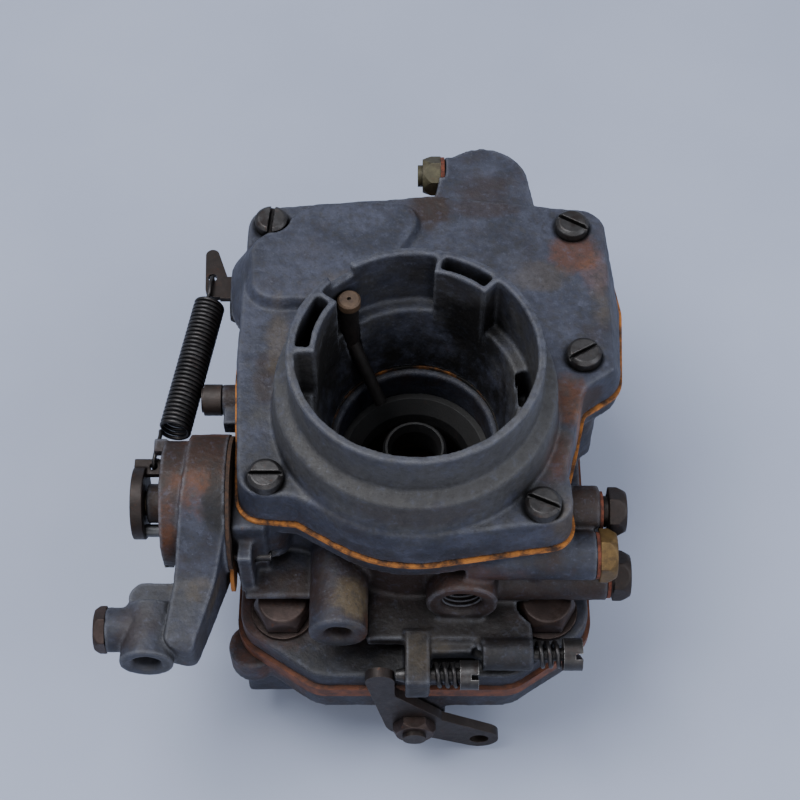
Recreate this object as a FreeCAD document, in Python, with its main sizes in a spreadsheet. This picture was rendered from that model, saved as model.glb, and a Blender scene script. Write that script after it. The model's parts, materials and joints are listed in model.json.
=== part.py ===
import FreeCAD, Part
import math
import os
import re
import Sketcher

# Single-barrel downdraught carburettor, in millimetres.
# Origin: centre of the bottom face of the throttle flange, on the axis of the air passage.
# +Z runs up the air passage, +X to the right as seen from the front, -Y to the front.

doc = FreeCAD.newDocument("Carburettor")
sheet = doc.addObject("Spreadsheet::Sheet", "Sizes")
KNOWN = []
NODES = []

# ---------------------------------------------------------------------------------------------
# Helpers: the sheet, the primitives, the booleans and the sketched bodies
# ---------------------------------------------------------------------------------------------


def sizes(**values):
    """Adds driving dimensions to the sheet, one named cell each."""
    for alias, value in values.items():
        KNOWN.append(alias)
        row = len(KNOWN)
        sheet.set(f"A{row}", alias)
        sheet.set(f"B{row}", str(value))
        sheet.setAlias(f"B{row}", alias)
    sheet.recompute()


def linked(text):
    """An expression with each alias spelled as a reference to the sheet."""
    def reference(match):
        word = match.group()
        return "Sizes." + word if word in KNOWN else word

    return re.sub(r"[a-z][a-z_]*", reference, str(text))


def value(text):
    """What an expression in sheet aliases comes to."""
    result = sheet.evalExpression(linked(text))
    return float(getattr(result, "Value", result))


def bind(thing, **properties):
    """Binds properties to expressions in sheet aliases."""
    for name, text in properties.items():
        thing.setExpression(name, linked(text))


TURNS = {
    "z": FreeCAD.Rotation(),
    "-z": FreeCAD.Rotation(FreeCAD.Vector(1, 0, 0), 180),
    "x": FreeCAD.Rotation(FreeCAD.Vector(0, 1, 0), 90),
    "-x": FreeCAD.Rotation(FreeCAD.Vector(0, 1, 0), -90),
    "y": FreeCAD.Rotation(FreeCAD.Vector(1, 0, 0), -90),
    "-y": FreeCAD.Rotation(FreeCAD.Vector(1, 0, 0), 90),
}


def place(thing, at, axis="z"):
    """Puts a thing at a point given by three expressions, its own Z along the named axis."""
    rotation = TURNS[axis] if isinstance(axis, str) else axis
    thing.Placement = FreeCAD.Placement(FreeCAD.Vector(*(value(c) for c in at)), rotation)
    for letter, text in zip("xyz", at):
        thing.setExpression(f".Placement.Base.{letter}", linked(text))
    return thing


def cylinder(radius, height, at, axis="z"):
    thing = doc.addObject("Part::Cylinder", "Round")
    bind(thing, Radius=radius, Height=height)
    return place(thing, at, axis)


def cone(low_radius, high_radius, height, at, axis="z"):
    thing = doc.addObject("Part::Cone", "Taper")
    bind(thing, Radius1=low_radius, Radius2=high_radius, Height=height)
    return place(thing, at, axis)


def block(long, wide, high, at, axis="z"):
    """A box with its lowest corner at a point."""
    thing = doc.addObject("Part::Box", "Block")
    bind(thing, Length=long, Width=wide, Height=high)
    return place(thing, at, axis)


def hexagon(across, height, at, axis="z"):
    """A hexagonal prism by its width across flats."""
    thing = doc.addObject("Part::Prism", "Hexagon")
    thing.Polygon = 6
    bind(thing, Circumradius=f"({across}) / 2 / cos(30 deg)", Height=height)
    return place(thing, at, axis)


def fuse(*things):
    joined = things[0]
    for thing in things[1:]:
        pair = doc.addObject("Part::Fuse", "Joined")
        pair.Base = joined
        pair.Tool = thing
        joined = pair
    return joined


def common(one, other):
    thing = doc.addObject("Part::Common", "Shared")
    thing.Base = one
    thing.Tool = other
    return thing


def cut(base, *tools):
    thing = doc.addObject("Part::Cut", "Hollowed")
    thing.Base = base
    thing.Tool = tools[0] if len(tools) == 1 else fuse(*tools)
    return thing


def group(things):
    thing = doc.addObject("Part::Compound", "Group")
    thing.Links = things
    return thing


def sector(inner, outer, start, sweep, low, height):
    """An upright wall along part of a ring about the air passage's axis."""
    whole = cylinder(outer, height, (0, 0, low))
    whole.setExpression("Angle", linked(sweep))
    core = cylinder(inner, height, (0, 0, low))
    piece = cut(whole, core)
    piece.Placement.Rotation = FreeCAD.Rotation(FreeCAD.Vector(0, 0, 1), value(start))
    piece.setExpression(".Placement.Rotation.Angle", linked(start))
    return piece


def node(thing, label):
    """Names a finished sub-part."""
    thing.Label = label
    NODES.append(thing)
    return thing


def new_sketch(body, plane):
    sketch = body.newObject("Sketcher::SketchObject", body.Name + "Sketch")
    origin = [f for f in body.Origin.OriginFeatures if f.Role == plane][0]
    sketch.AttachmentSupport = (origin, [""])
    sketch.MapMode = "FlatFace"
    return sketch


def fix(sketch, kind, *references, text):
    """Adds one dimension to a sketch and binds it to an expression."""
    index = sketch.addConstraint(Sketcher.Constraint(kind, *references, value(text)))
    sketch.setExpression(f"Constraints[{index}]", linked(text))


def outline(sketch, ring, grow="0"):
    """Draws the closed outline that wraps a ring of circles, joined by their tangent lines.
    ring: (x, y, radius, side) each, anticlockwise; side is 1 where the outline bulges round the
    circle and -1 where it is hollowed by it. grow moves the whole outline outwards."""
    spots = []
    for x, y, radius, side in ring:
        size = f"({radius}) {'+' if side > 0 else '-'} ({grow})"
        spots.append((value(x), value(y), value(size) * side, (x, y, size)))
    count = len(spots)
    angles = []
    for i in range(count):
        x1, y1, r1, _ = spots[i]
        x2, y2, r2, _ = spots[(i + 1) % count]
        gap = math.hypot(x2 - x1, y2 - y1)
        angles.append(math.atan2(y2 - y1, x2 - x1) - math.asin((r2 - r1) / gap))
    for i in range(count):
        x1, y1, r1, texts = spots[i]
        come, go = angles[i - 1], angles[i]
        start, end = (come, go) if r1 > 0 else (go, come)
        turn = -math.pi / 2 if r1 > 0 else math.pi / 2
        circle = Part.Circle(FreeCAD.Vector(x1, y1, 0), FreeCAD.Vector(0, 0, 1), abs(r1))
        sketch.addGeometry(Part.ArcOfCircle(circle, start + turn, end + turn))
        x2, y2, r2, _ = spots[(i + 1) % count]
        side = FreeCAD.Vector(math.sin(go), -math.cos(go), 0)
        first = FreeCAD.Vector(x1, y1, 0) + side * r1
        last = FreeCAD.Vector(x2, y2, 0) + side * r2
        sketch.addGeometry(Part.LineSegment(first, last))
    for i in range(count):
        arc, line, following = 2 * i, 2 * i + 1, (2 * i + 2) % (2 * count)
        leaving = 2 if spots[i][2] > 0 else 1
        entering = 1 if spots[(i + 1) % count][2] > 0 else 2
        sketch.addConstraint(Sketcher.Constraint("Tangent", arc, leaving, line, 1))
        sketch.addConstraint(Sketcher.Constraint("Tangent", line, 2, following, entering))
    for i in range(count):
        x, y, size = spots[i][3]
        fix(sketch, "DistanceX", -1, 1, 2 * i, 3, text=x)
        fix(sketch, "DistanceY", -1, 1, 2 * i, 3, text=y)
        fix(sketch, "Radius", 2 * i, text=size)


def plate(name, ring, height, at, grow="0", plane="XY_Plane", taper="0", axis="z"):
    """A flat piece with a wrapped outline, thickened from its plane."""
    body = doc.addObject("PartDesign::Body", name)
    sketch = new_sketch(body, plane)
    outline(sketch, ring, grow)
    pad = body.newObject("PartDesign::Pad", name + "Pad")
    pad.Profile = sketch
    bind(pad, Length=height)
    if taper != "0":
        bind(pad, TaperAngle=taper)
    return place(body, at, axis)


def turned(name, profile, at, axis="z"):
    """A lathe-turned piece: profile is a closed list of (radius, height along the axis)."""
    body = doc.addObject("PartDesign::Body", name)
    sketch = new_sketch(body, "XZ_Plane")
    points = [FreeCAD.Vector(value(r), value(h), 0) for r, h in profile]
    count = len(points)
    for i in range(count):
        sketch.addGeometry(Part.LineSegment(points[i], points[(i + 1) % count]))
    for i in range(count):
        sketch.addConstraint(Sketcher.Constraint("Coincident", i, 2, (i + 1) % count, 1))
    for i, (radius, height) in enumerate(profile):
        fix(sketch, "DistanceX", -1, 1, i, 1, text=radius)
        fix(sketch, "DistanceY", -1, 1, i, 1, text=height)
    spin = body.newObject("PartDesign::Revolution", name + "Revolution")
    spin.Profile = sketch
    spin.ReferenceAxis = (sketch, ["V_Axis"])
    spin.Angle = 360
    return place(body, at, axis)


def coil(name, radius, wire, pitch, length, at, axis):
    """A coil spring: a round wire swept along a helix."""
    helix = doc.addObject("Part::Helix", name + "Helix")
    bind(helix, Pitch=pitch, Height=length, Radius=f"({radius}) - ({wire})")
    section = doc.addObject("Part::Circle", name + "Wire")
    bind(section, Radius=wire)
    section.Placement = FreeCAD.Placement(FreeCAD.Vector(0, 0, 0), TURNS["-y"])
    section.setExpression(".Placement.Base.x", linked(f"({radius}) - ({wire})"))
    sweep = doc.addObject("Part::Sweep", name)
    sweep.Sections = [section]
    sweep.Spine = (helix, ["Edge1"])
    sweep.Solid = True
    sweep.Frenet = True
    return place(sweep, at, axis)


# ---------------------------------------------------------------------------------------------
# Heights, the air passage and the two outlines that several pieces share. through is the length
# of a cutter that goes right through its piece, past how far a cutter stands clear of a face,
# hex_ease the base radius of the cone that eases a hexagon's corners, over its width across flats.
# ---------------------------------------------------------------------------------------------

sizes(
    total_height=110,
    cover_base=73,
    cover_top=85,
    gasket_thick=1,
    lip_thick=5,
    bowl_floor=40,
    flange_thick=6,
    insulator_thick=4,
    bore_radius=19,
    throttle_radius=18,
    running_gap=0.05,
    through=20,
    past=1,
    hex_ease=0.68,
    small_tap=1.55,
    small_rod=1.5,
    small_clear=1.8,
)
sizes(body_top=73 - 1, body_base=40 - 6, throttle_top=40 - 6 - 4)
for alias, text in (
    ("body_top", "cover_base - gasket_thick"),
    ("body_base", "bowl_floor - flange_thick"),
    ("throttle_top", "body_base - insulator_thick"),
):
    sheet.set(f"B{KNOWN.index(alias) + 1}", "=" + text)
sheet.recompute()

COVER_RING = []
for spot, x, y, radius, side in (
    ("front_left_lug", -36.5, -17.5, 6.3, 1),
    ("front_left_hollow", -29.6, -28.4, 3.9, -1),
    ("horn_front", 0, 0, 35.7, 1),
    ("front_right_lug", 31.5, -25.2, 6.0, 1),
    ("right_front_hollow", 41.0, -16.5, 4.5, -1),
    ("right_shoulder", 34.4, -3.0, 5.2, 1),
    ("right_hollow", 45.3, 3.6, 4.0, -1),
    ("right_lug", 44.6, 16.5, 7.0, 1),
    ("right_belly", 38.6, 36.0, 14.2, 1),
    ("back_right_lug", 42.2, 54.4, 7.9, 1),
    ("dome_right_hollow", 35.2, 66.7, 3.5, -1),
    ("dome_end", 18.3, 72.4, 12.3, 1),
    ("dome_left_hollow", 2.0, 70.2, 3.5, -1),
    ("back_left_lug", -36.5, 56.0, 7.0, 1),
    ("left_belly", -24.4, 16.0, 20.0, 1),
):
    sizes(**{spot + "_x": x, spot + "_y": y, spot + "_r": radius})
    COVER_RING.append((spot + "_x", spot + "_y", spot + "_r", side))

sizes(ear_x=34.5, ear_y=31.5, ear_r=9.4, nose_x=22, nose_y=41, nose_r=8.5)
FLANGE_RING = [
    ("-ear_x", "-ear_y", "ear_r", 1),
    ("-nose_x", "-nose_y", "nose_r", 1),
    ("nose_x", "-nose_y", "nose_r", 1),
    ("ear_x", "-ear_y", "ear_r", 1),
    ("ear_x", "ear_y", "ear_r", 1),
    ("-ear_x", "ear_y", "ear_r", 1),
]

sizes(
    screw_a_x=-35.3, screw_a_y=-19.2,
    screw_b_x=29.6, screw_b_y=-26.7,
    screw_c_x=41.5, screw_c_y=15.4,
    screw_d_x=40.6, screw_d_y=55.5,
    screw_e_x=-36.8, screw_e_y=56.8,
    bolt_x=33.0, bolt_y=32.0,
)
COVER_SCREWS = [("screw_a", 0), ("screw_b", -25), ("screw_c", 30), ("screw_d", -30), ("screw_e", 85)]
BOLTS = [("-bolt_x", "-bolt_y"), ("bolt_x", "-bolt_y"), ("bolt_x", "bolt_y"), ("-bolt_x", "bolt_y")]

# ---------------------------------------------------------------------------------------------
# Bowl cover with its air horn
# ---------------------------------------------------------------------------------------------

sizes(
    rim_radius=30, rim_wall=2, neck_base=96, ridge_radius=33.5, skirt_radius=35.6,
    horn_ledge=92, funnel_radius=24.5, funnel_exit=20.5,
    bulge_low=76, bulge_high=88, bulge_draft=-28, bulge_back=64.5, cover_draft=-3,
    dome_top=82.8, dome_edge_y=67, dome_edge_turn=-6.9, side_edge_x=48.9, side_edge_turn=18.4,
    screw_hole=2.75, spot_radius=4.9, spot_deep=0.6,
    pocket_inner=23.2, pocket_wall=1.4, pocket_deep=25,
    left_pocket_start=142, left_pocket_sweep=38, right_pocket_start=46, right_pocket_sweep=33,
    end_wall=3, vent_slot_start=-8, vent_slot_sweep=22, vent_slot_deep=11,
    notch_wide=6.5, notch_deep=3.2, notch_turn=128,
    cover_roof=6, horn_root=33,
    inlet_y=78.3, inlet_z=78.5, inlet_bore=3.2, inlet_boss=4.9, inlet_face=8.2,
    drilling_bore=1.5, drilling_z=79.6, seat_x=18, seat_y=53, seat_bore=3.6, seat_boss=6, seat_long=5,
    pivot_x=26, pivot_z=67, pin_radius=1.0, pin_front=46, pin_back=57.5, hanger_wide=6, hanger_thick=2,
    knuckle_r=3, filter_bore=5.7, filter_room=12, ridge_high=1.6, ridge_step=0.4, pocket_floor=4,
)

HANGERS = ("pin_front", "pin_back - hanger_thick")
BULGE_RING = [
    (-35, 37, 12.2, 1),
    (-16, 36.5, 12, 1),
    (-5.2, 56, 12, 1),
    (-24, 55.5, 12, 1),
    (-35.5, 45.5, 12.2, 1),
]


def horn_pocket(start, sweep):
    """The wall and the hollow of one vent pocket inside the air horn."""
    low = "total_height - pocket_deep"
    wall = sector("pocket_inner", "rim_radius - 0.5", start, sweep, low, "pocket_deep")
    hollow = sector(
        "pocket_inner + pocket_wall", "rim_radius - rim_wall", f"{start} + end_wall",
        f"{sweep} - 2 * end_wall", "total_height - pocket_deep + pocket_floor", "pocket_deep",
    )
    return wall, hollow


def make_cover():
    base = plate("CoverPlate", COVER_RING, "cover_top - cover_base", (0, 0, "cover_base"),
                 taper="cover_draft")
    pillow = plate("CoverBulge", BULGE_RING, "bulge_high - bulge_low", (0, 0, "bulge_low"),
                   taper="bulge_draft")
    bulge = common(pillow, block(80, "bulge_back", 20, (-60, 0, "bulge_low - 1")))
    skirt = cone("skirt_radius", "ridge_radius", "neck_base - cover_base", (0, 0, "cover_base"))
    ridge = cone("ridge_radius", "rim_radius + ridge_step", "ridge_high", (0, 0, "neck_base"))
    neck = cylinder("rim_radius", "total_height - neck_base", (0, 0, "neck_base"))
    inlet = cylinder("inlet_boss", "dome_end_x - inlet_face", ("dome_end_x", "inlet_y", "inlet_z"), "-x")
    lie = FreeCAD.Rotation(FreeCAD.Vector(0, 0, 1), value("dome_edge_turn"))
    above_dome = block(42, 25, 8, (-1, "dome_edge_y", "dome_top"), lie)
    lean_out = FreeCAD.Rotation(FreeCAD.Vector(0, 1, 0), -value("side_edge_turn"))
    beside = block(20, 58, 30, ("side_edge_x + 15 * tan(side_edge_turn * 1 deg)", 8, "cover_top - 15"),
                   lean_out)
    outer = fuse(cut(base, above_dome, beside), bulge, skirt, ridge, neck, cut(inlet, above_dome))

    horn = cylinder("rim_radius - rim_wall", "total_height - horn_ledge + 1", (0, 0, "horn_ledge"))
    funnel = cone("funnel_exit", "funnel_radius", "horn_ledge - cover_base", (0, 0, "cover_base"))
    slot = sector("funnel_radius", "rim_radius - rim_wall", "vent_slot_start", "vent_slot_sweep",
                  "horn_ledge - vent_slot_deep", "vent_slot_deep + 1")
    notch = block("notch_wide", "rim_wall * 4", "notch_deep + 1",
                  ("-notch_wide / 2", "rim_radius - 2 * rim_wall", "total_height - notch_deep"))
    turned_notch = fuse(notch, block(1, 1, 1, (-0.5, "rim_radius - 1", "total_height - 1")))
    turned_notch.Placement.Rotation = FreeCAD.Rotation(FreeCAD.Vector(0, 0, 1), value("notch_turn - 90"))
    bored = cut(outer, horn, funnel, slot, turned_notch)

    left_wall, left_hollow = horn_pocket("left_pocket_start", "left_pocket_sweep")
    right_wall, right_hollow = horn_pocket("right_pocket_start", "right_pocket_sweep")
    walled = fuse(bored, left_wall, right_wall)

    roof = "cover_top - cover_roof - cover_base"
    bowl_room = plate("CoverRoom", WELL_RING, roof, (0, 0, "cover_base"))
    root = cylinder("horn_root", "cover_top", (0, 0, 0))
    seat_post = cylinder("seat_boss", "through", ("seat_x", "seat_y", "cover_base - 5"))
    lugs = [block("hanger_wide", "hanger_thick", "through", ("pivot_x - hanger_wide / 2", y, "cover_base - 5"))
            for y in HANGERS]
    room = cut(bowl_room, root, seat_post, *lugs)
    tools = [left_hollow, right_hollow, room]
    for name, _ in COVER_SCREWS:
        x, y = name + "_x", name + "_y"
        tools.append(cylinder("screw_hole", "cover_top", (x, y, 0)))
        tools.append(cylinder("spot_radius", "spot_deep + 6", (x, y, "cover_top - spot_deep")))
    tools.append(cylinder("inlet_bore", 17, ("seat_x", "inlet_y", "inlet_z"), "-x"))
    tools.append(cylinder("filter_bore", "filter_room", ("inlet_face", "inlet_y", "inlet_z"), "-x"))
    tools.append(cylinder("drilling_bore", "inlet_y - seat_y", ("seat_x", "inlet_y", "drilling_z"), "-y"))
    tools.append(cylinder("seat_bore", "drilling_z - cover_base", ("seat_x", "seat_y", "cover_base")))
    tools.append(cylinder("tube_radius + running_gap", "2 * through", ("tube_x", "tube_y", "cover_base - 10")))
    tools.append(nozzle("nozzle_radius + 3 * running_gap"))
    hollow = cut(walled, *tools)
    hangers = []
    for y in HANGERS:
        ear = block("hanger_wide", "hanger_thick", "cover_base - pivot_z + past",
                    ("pivot_x - hanger_wide / 2", y, "pivot_z"))
        knuckle = cylinder("knuckle_r", "hanger_thick", ("pivot_x", y, "pivot_z"), "y")
        eye = cylinder("pin_radius", "hanger_thick + 2 * past", ("pivot_x", f"{y} - past", "pivot_z"), "y")
        hangers.append(cut(fuse(ear, knuckle), eye))
    return fuse(hollow, *hangers)


sizes(
    well_left=-33.5, well_front=34.5, well_back=54.5, well_right=41.0, well_corner=3.5,
)
WELL_RING = [
    ("well_left", "well_front", "well_corner", 1),
    ("well_right", "well_front", "well_corner", 1),
    ("well_right - 6", "well_back", "well_corner", 1),
    ("well_left + 6", "well_back", "well_corner", 1),
    ("well_left", "well_back - 8", "well_corner", 1),
]
sizes(
    tube_x=-15.8, tube_y=19.2, tube_radius=2.2, tube_low=76, cap_radius=2.8, cap_high=2.4, cap_top=104,
    nozzle_radius=1.6, nozzle_x=-8.5, nozzle_y=11, nozzle_low=71, nozzle_high=88,
)


def nozzle(radius):
    """The slanting spout that carries the pump's jet down into the air passage."""
    start = FreeCAD.Vector(value("tube_x"), value("tube_y"), value("nozzle_high"))
    end = FreeCAD.Vector(value("nozzle_x"), value("nozzle_y"), value("nozzle_low"))
    slant = FreeCAD.Rotation(FreeCAD.Vector(0, 0, 1), end - start)
    return cylinder(radius, (end - start).Length, ("tube_x", "tube_y", "nozzle_high"), slant)


node(make_cover(), "bowl_cover")

# Gasket under the cover: the cover's outline, standing a little proud of it all round.
sizes(gasket_proud=0.7, gasket_bore=20.5, seat_clear=1.2)


def make_gasket():
    sheet_part = plate("GasketSheet", COVER_RING, "gasket_thick", (0, 0, "body_top"), grow="gasket_proud")
    tools = [
        cylinder("gasket_bore", "through", (0, 0, "body_top - 5")),
        plate("GasketWindow", WELL_RING, "through", (0, 0, "body_top - 5")),
    ]
    for name, _ in COVER_SCREWS:
        tools.append(cylinder("screw_hole", "through", (name + "_x", name + "_y", "body_top - 5")))
    tools.append(cylinder("seat_bore + seat_clear", "through", ("seat_x", "seat_y", "body_top - 5")))
    return cut(sheet_part, *tools)


node(make_gasket(), "cover_gasket")


# Slotted cheese-head screws that hold the cover down.
sizes(head_radius=4.3, head_high=3.4, head_crown=0.8, head_shrink=0.9, thread_radius=2.4, thread_gap=0.03,
      thread_down=17, slot_wide=1.1, slot_deep=1.5)


def make_cover_screws():
    screws = []
    seat = "cover_top - spot_deep"
    for name, angle in COVER_SCREWS:
        x, y = name + "_x", name + "_y"
        head = cylinder("head_radius", "head_high - head_crown", (x, y, seat))
        crown = cone("head_radius", "head_radius - head_shrink", "head_crown",
                     (x, y, f"{seat} + head_high - head_crown"))
        shank = cylinder("thread_radius", "thread_down + 9", (x, y, f"{seat} - thread_down - 9"))
        slot = block("3 * head_radius", "slot_wide", "slot_deep + 1",
                     ("-1.5 * head_radius", "-slot_wide / 2", f"{seat} + head_high - slot_deep"))
        spun = fuse(slot, block(0.5, 0.5, 0.5, (-0.25, -0.25, f"{seat} + head_high")))
        spun.Placement = FreeCAD.Placement(
            FreeCAD.Vector(value(x), value(y), 0), FreeCAD.Rotation(FreeCAD.Vector(0, 0, 1), angle))
        screws.append(cut(fuse(head, crown, shank), spun))
    return group(screws)


node(make_cover_screws(), "cover_screws")

# ---------------------------------------------------------------------------------------------
# Main body: float bowl, air passage, bosses and lower flange
# ---------------------------------------------------------------------------------------------

sizes(
    wall_inset=4.5, boss_radius=4.9, boss_low=54, barrel_radius=26,
    small_boss_x=-18.6, small_boss_z=54, small_boss_r=7.15, small_boss_y=-45, small_bore=3.0,
    big_boss_x=11.5, big_boss_z=55, big_boss_r=8.75, big_boss_y=-37.5, big_bore=5.0,
    rib_x=-2.4, rib_wide=6.1, rib_front=-55.5, rib_back=-41, rib_low=40, rib_top=48.6,
    stop_y=-51.5, stop_z=45, mix_y=-46, mix_z=45, mix_boss_r=4, mix_boss_x=29.1,
    plug_a_y=-17, plug_a_z=65, plug_a_boss=6.4, plug_a_x=45,
    plug_b_y=-29, plug_b_z=64.8, plug_b_boss=5.9, plug_b_x=43.6, carrier_spot=6.9,
    plug_c_y=-27.5, plug_c_z=51.2, plug_c_boss=6.0, plug_c_x=47.6,
    plug_bore=3.0, plug_bore_deep=9,
    pad_left=-44.5, pad_right=-36, pad_front=-25.5, pad_back=2, pad_low=46,
    starter_y=-13.5, starter_z=63, starter_bore=4.1, pad_top=66, stop_radius=1.8, mix_radius=1.6,
    shelf_x=-42, shelf_wide=17, shelf_front=-33.3, shelf_deep=16, shelf_z=49.4, shelf_thick=1.7,
    web_x=-43, web_wide=3.6, web_front=-30.8,
    stub_y=13.6, stub_z=68, stub_boss_r=3.9,
    pump_y=56.6, pump_z=27, pump_radius=11, pump_face=34, pump_chamber=7.2, pump_chamber_deep=6,
    bolt_hole=4.2, emulsion_x=-7, emulsion_y=-25, emulsion_bore=2.3,
    bowl_low=43,
    anchor_x=-44.7, anchor_y=47, anchor_z=61, anchor_boss=3.9, stub_x=-48.7,
    wrench_radius=8.2, wrench_high=6.8, chamfer=1, stub_block=6, stub_bore_deep=9,
    step_x=3, step_front=-46, step_z=42, step_wide=18, step_deep=18, step_thick=4,
    apron_x=-12, apron_front=-43, apron_z=44, apron_wide=26, apron_deep=20, apron_thick=3.5,
)


def side_boss(letter):
    """A horizontal boss on the right-hand side that carries a screwed plug, and the plug's bore."""
    y, z, face = f"plug_{letter}_y", f"plug_{letter}_z", f"plug_{letter}_x"
    boss = cylinder(f"plug_{letter}_boss", f"{face} - 12", (12, y, z), "x")
    bore = cylinder("plug_bore", "plug_bore_deep + 1", (f"{face} + 1", y, z), "-x")
    return boss, bore


def make_main_body():
    lip = plate("BodyLip", COVER_RING, "lip_thick", (0, 0, "body_top - lip_thick"))
    bowl = plate("BodyBowl", COVER_RING, "body_top - lip_thick - bowl_floor + 1", (0, 0, "bowl_floor - 0.5"),
                 grow="-wall_inset")
    barrel = cylinder("barrel_radius", "body_top - body_base", (0, 0, "body_base"))
    flange = plate("BodyFlange", FLANGE_RING, "flange_thick", (0, 0, "body_base"))
    solids = [lip, bowl, barrel, flange]
    for name, _ in COVER_SCREWS:
        at = (name + "_x", name + "_y", "boss_low")
        solids.append(cylinder("boss_radius", "body_top - past - boss_low", at))
    solids.append(cylinder("small_boss_r", "-20 - small_boss_y", ("small_boss_x", -20, "small_boss_z"), "-y"))
    solids.append(cylinder("big_boss_r", "-20 - big_boss_y", ("big_boss_x", -20, "big_boss_z"), "-y"))
    solids.append(block("rib_wide", "rib_back - rib_front", "rib_top - rib_low",
                        ("rib_x", "rib_front", "rib_low")))
    solids.append(block("step_wide", "step_deep", "step_thick", ("step_x", "step_front", "step_z")))
    solids.append(block("apron_wide", "apron_deep", "apron_thick", ("apron_x", "apron_front", "apron_z")))
    solids.append(cylinder("mix_boss_r", "mix_boss_x - 16.5", (16.5, "mix_y", "mix_z"), "x"))
    solids.append(block(14, 22, 6, (15, "mix_y", "mix_z - mix_boss_r")))
    solids.append(block("pad_right - pad_left", "pad_back - pad_front", "body_top - pad_low",
                        ("pad_left", "pad_front", "pad_low")))
    solids.append(block("shelf_wide", "shelf_deep", "shelf_thick", ("shelf_x", "shelf_front", "shelf_z")))
    solids.append(block("web_wide", 8, "pad_top - shelf_z", ("web_x", "web_front", "shelf_z")))
    solids.append(cylinder("stub_boss_r", 14, ("stub_x", "stub_y", "stub_z"), "x"))
    solids.append(block("stub_block", "stub_block", "stub_block - past",
                        ("stub_x + 0.8", "stub_y - 8.2", "stub_z - stub_block / 2")))
    solids.append(cylinder("anchor_boss", 9, ("anchor_x", "anchor_y", "anchor_z"), "x"))
    solids.append(cylinder("pump_radius", 12, ("pump_face", "pump_y", "pump_z"), "-x"))
    solids.append(block(12, 14, 12, ("pump_face - 12", "pump_y - 7", "pump_z + 3")))
    bores = []
    for letter in "abc":
        boss, bore = side_boss(letter)
        solids.append(boss)
        bores.append(bore)
    outer = fuse(*solids)

    tools = bores + [cylinder("bore_radius", "total_height", (0, 0, 0))]
    tools.append(cylinder("carrier_spot", 12, ("plug_b_x", "plug_b_y", "plug_b_z"), "x"))
    tools.append(plate("BowlWell", WELL_RING, "body_top - bowl_low + 5", (0, 0, "bowl_low")))
    for name, _ in COVER_SCREWS:
        tools.append(cylinder("thread_radius + thread_gap", "through",
                              (name + "_x", name + "_y", "body_top - 14")))
    for x, y in BOLTS:
        tools.append(cylinder("bolt_hole", "through", (x, y, "body_base - 5")))
        tools.append(cylinder("wrench_radius", "wrench_high", (x, y, "bowl_floor")))
    tools.append(cylinder("small_bore", 12, ("small_boss_x", "small_boss_y - 1", "small_boss_z"), "y"))
    tools.append(cone("small_bore + chamfer", "small_bore", "chamfer + 0.2",
                      ("small_boss_x", "small_boss_y", "small_boss_z"), "y"))
    tools.append(cylinder("big_bore", 11, ("big_boss_x", "big_boss_y - 1", "big_boss_z"), "y"))
    tools.append(cone("big_bore + chamfer", "big_bore", "chamfer", ("big_boss_x", "big_boss_y", "big_boss_z"), "y"))
    tools.append(cylinder("stop_radius + running_gap", 12, ("rib_x - 2", "stop_y", "stop_z"), "x"))
    tools.append(cylinder("mix_radius + running_gap", 16, ("mix_boss_x + past", "mix_y", "mix_z"), "-x"))
    tools.append(cylinder("starter_bore", "through", ("pad_left - 1", "starter_y", "starter_z"), "x"))
    tools.append(cylinder("small_tap + running_gap", "stub_bore_deep", ("stub_x - past", "stub_y", "stub_z"), "x"))
    tools.append(cylinder("pump_chamber", "pump_chamber_deep + 1",
                          ("pump_face - pump_chamber_deep", "pump_y", "pump_z"), "x"))
    for dy, dz in PUMP_SCREWS:
        tools.append(cylinder("small_tap", 8, ("pump_face - 7", f"pump_y + {dy}", f"pump_z + {dz}"), "x"))
    tools.append(cylinder("emulsion_bore", 30, ("emulsion_x", "emulsion_y", 48)))
    tools.append(cylinder("small_tap", 7, ("anchor_x - 1", "anchor_y", "anchor_z"), "x"))
    for side in (-1, 1):
        tools.append(cylinder("small_rod", 16, ("pad_left - 1", f"starter_y + {side} * starter_screw_y",
                                        "starter_z - starter_screw_z"), "x"))
    return cut(outer, *tools)


PUMP_SCREWS = [(6.4, 6.4), (-6.4, 6.4), (-6.4, -6.4), (6.4, -6.4)]
sizes(starter_screw_y=11, starter_screw_z=6.5, starter_head=3.1)
node(make_main_body(), "main_body")

# ---------------------------------------------------------------------------------------------
# Throttle body, the insulator above it and the bolts that hold them
# ---------------------------------------------------------------------------------------------

sizes(
    insulator_proud=1.1, upper_flange=9, lower_flange=9, throttle_barrel=24,
    stud_x=35, stud_ear=9.5, stud_hole=4.3,
    barrel_skirt=25, bearing_boss=8, shaft_z=18, boss_front=-50, boss_back=41.2,
    shaft_radius=4, bolt_thread=3.95, lug_x=-41.2, lug_y=-36.6, lug_r=6.3,
    chest_left=-43.5, chest_front=-40, chest_low=9,
)
STUD_RING = [
    ("-stud_x", 0, "stud_ear", 1),
    (0, 0, "barrel_skirt", 1),
    ("stud_x", 0, "stud_ear", 1),
    (0, 0, "barrel_skirt", 1),
]


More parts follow.
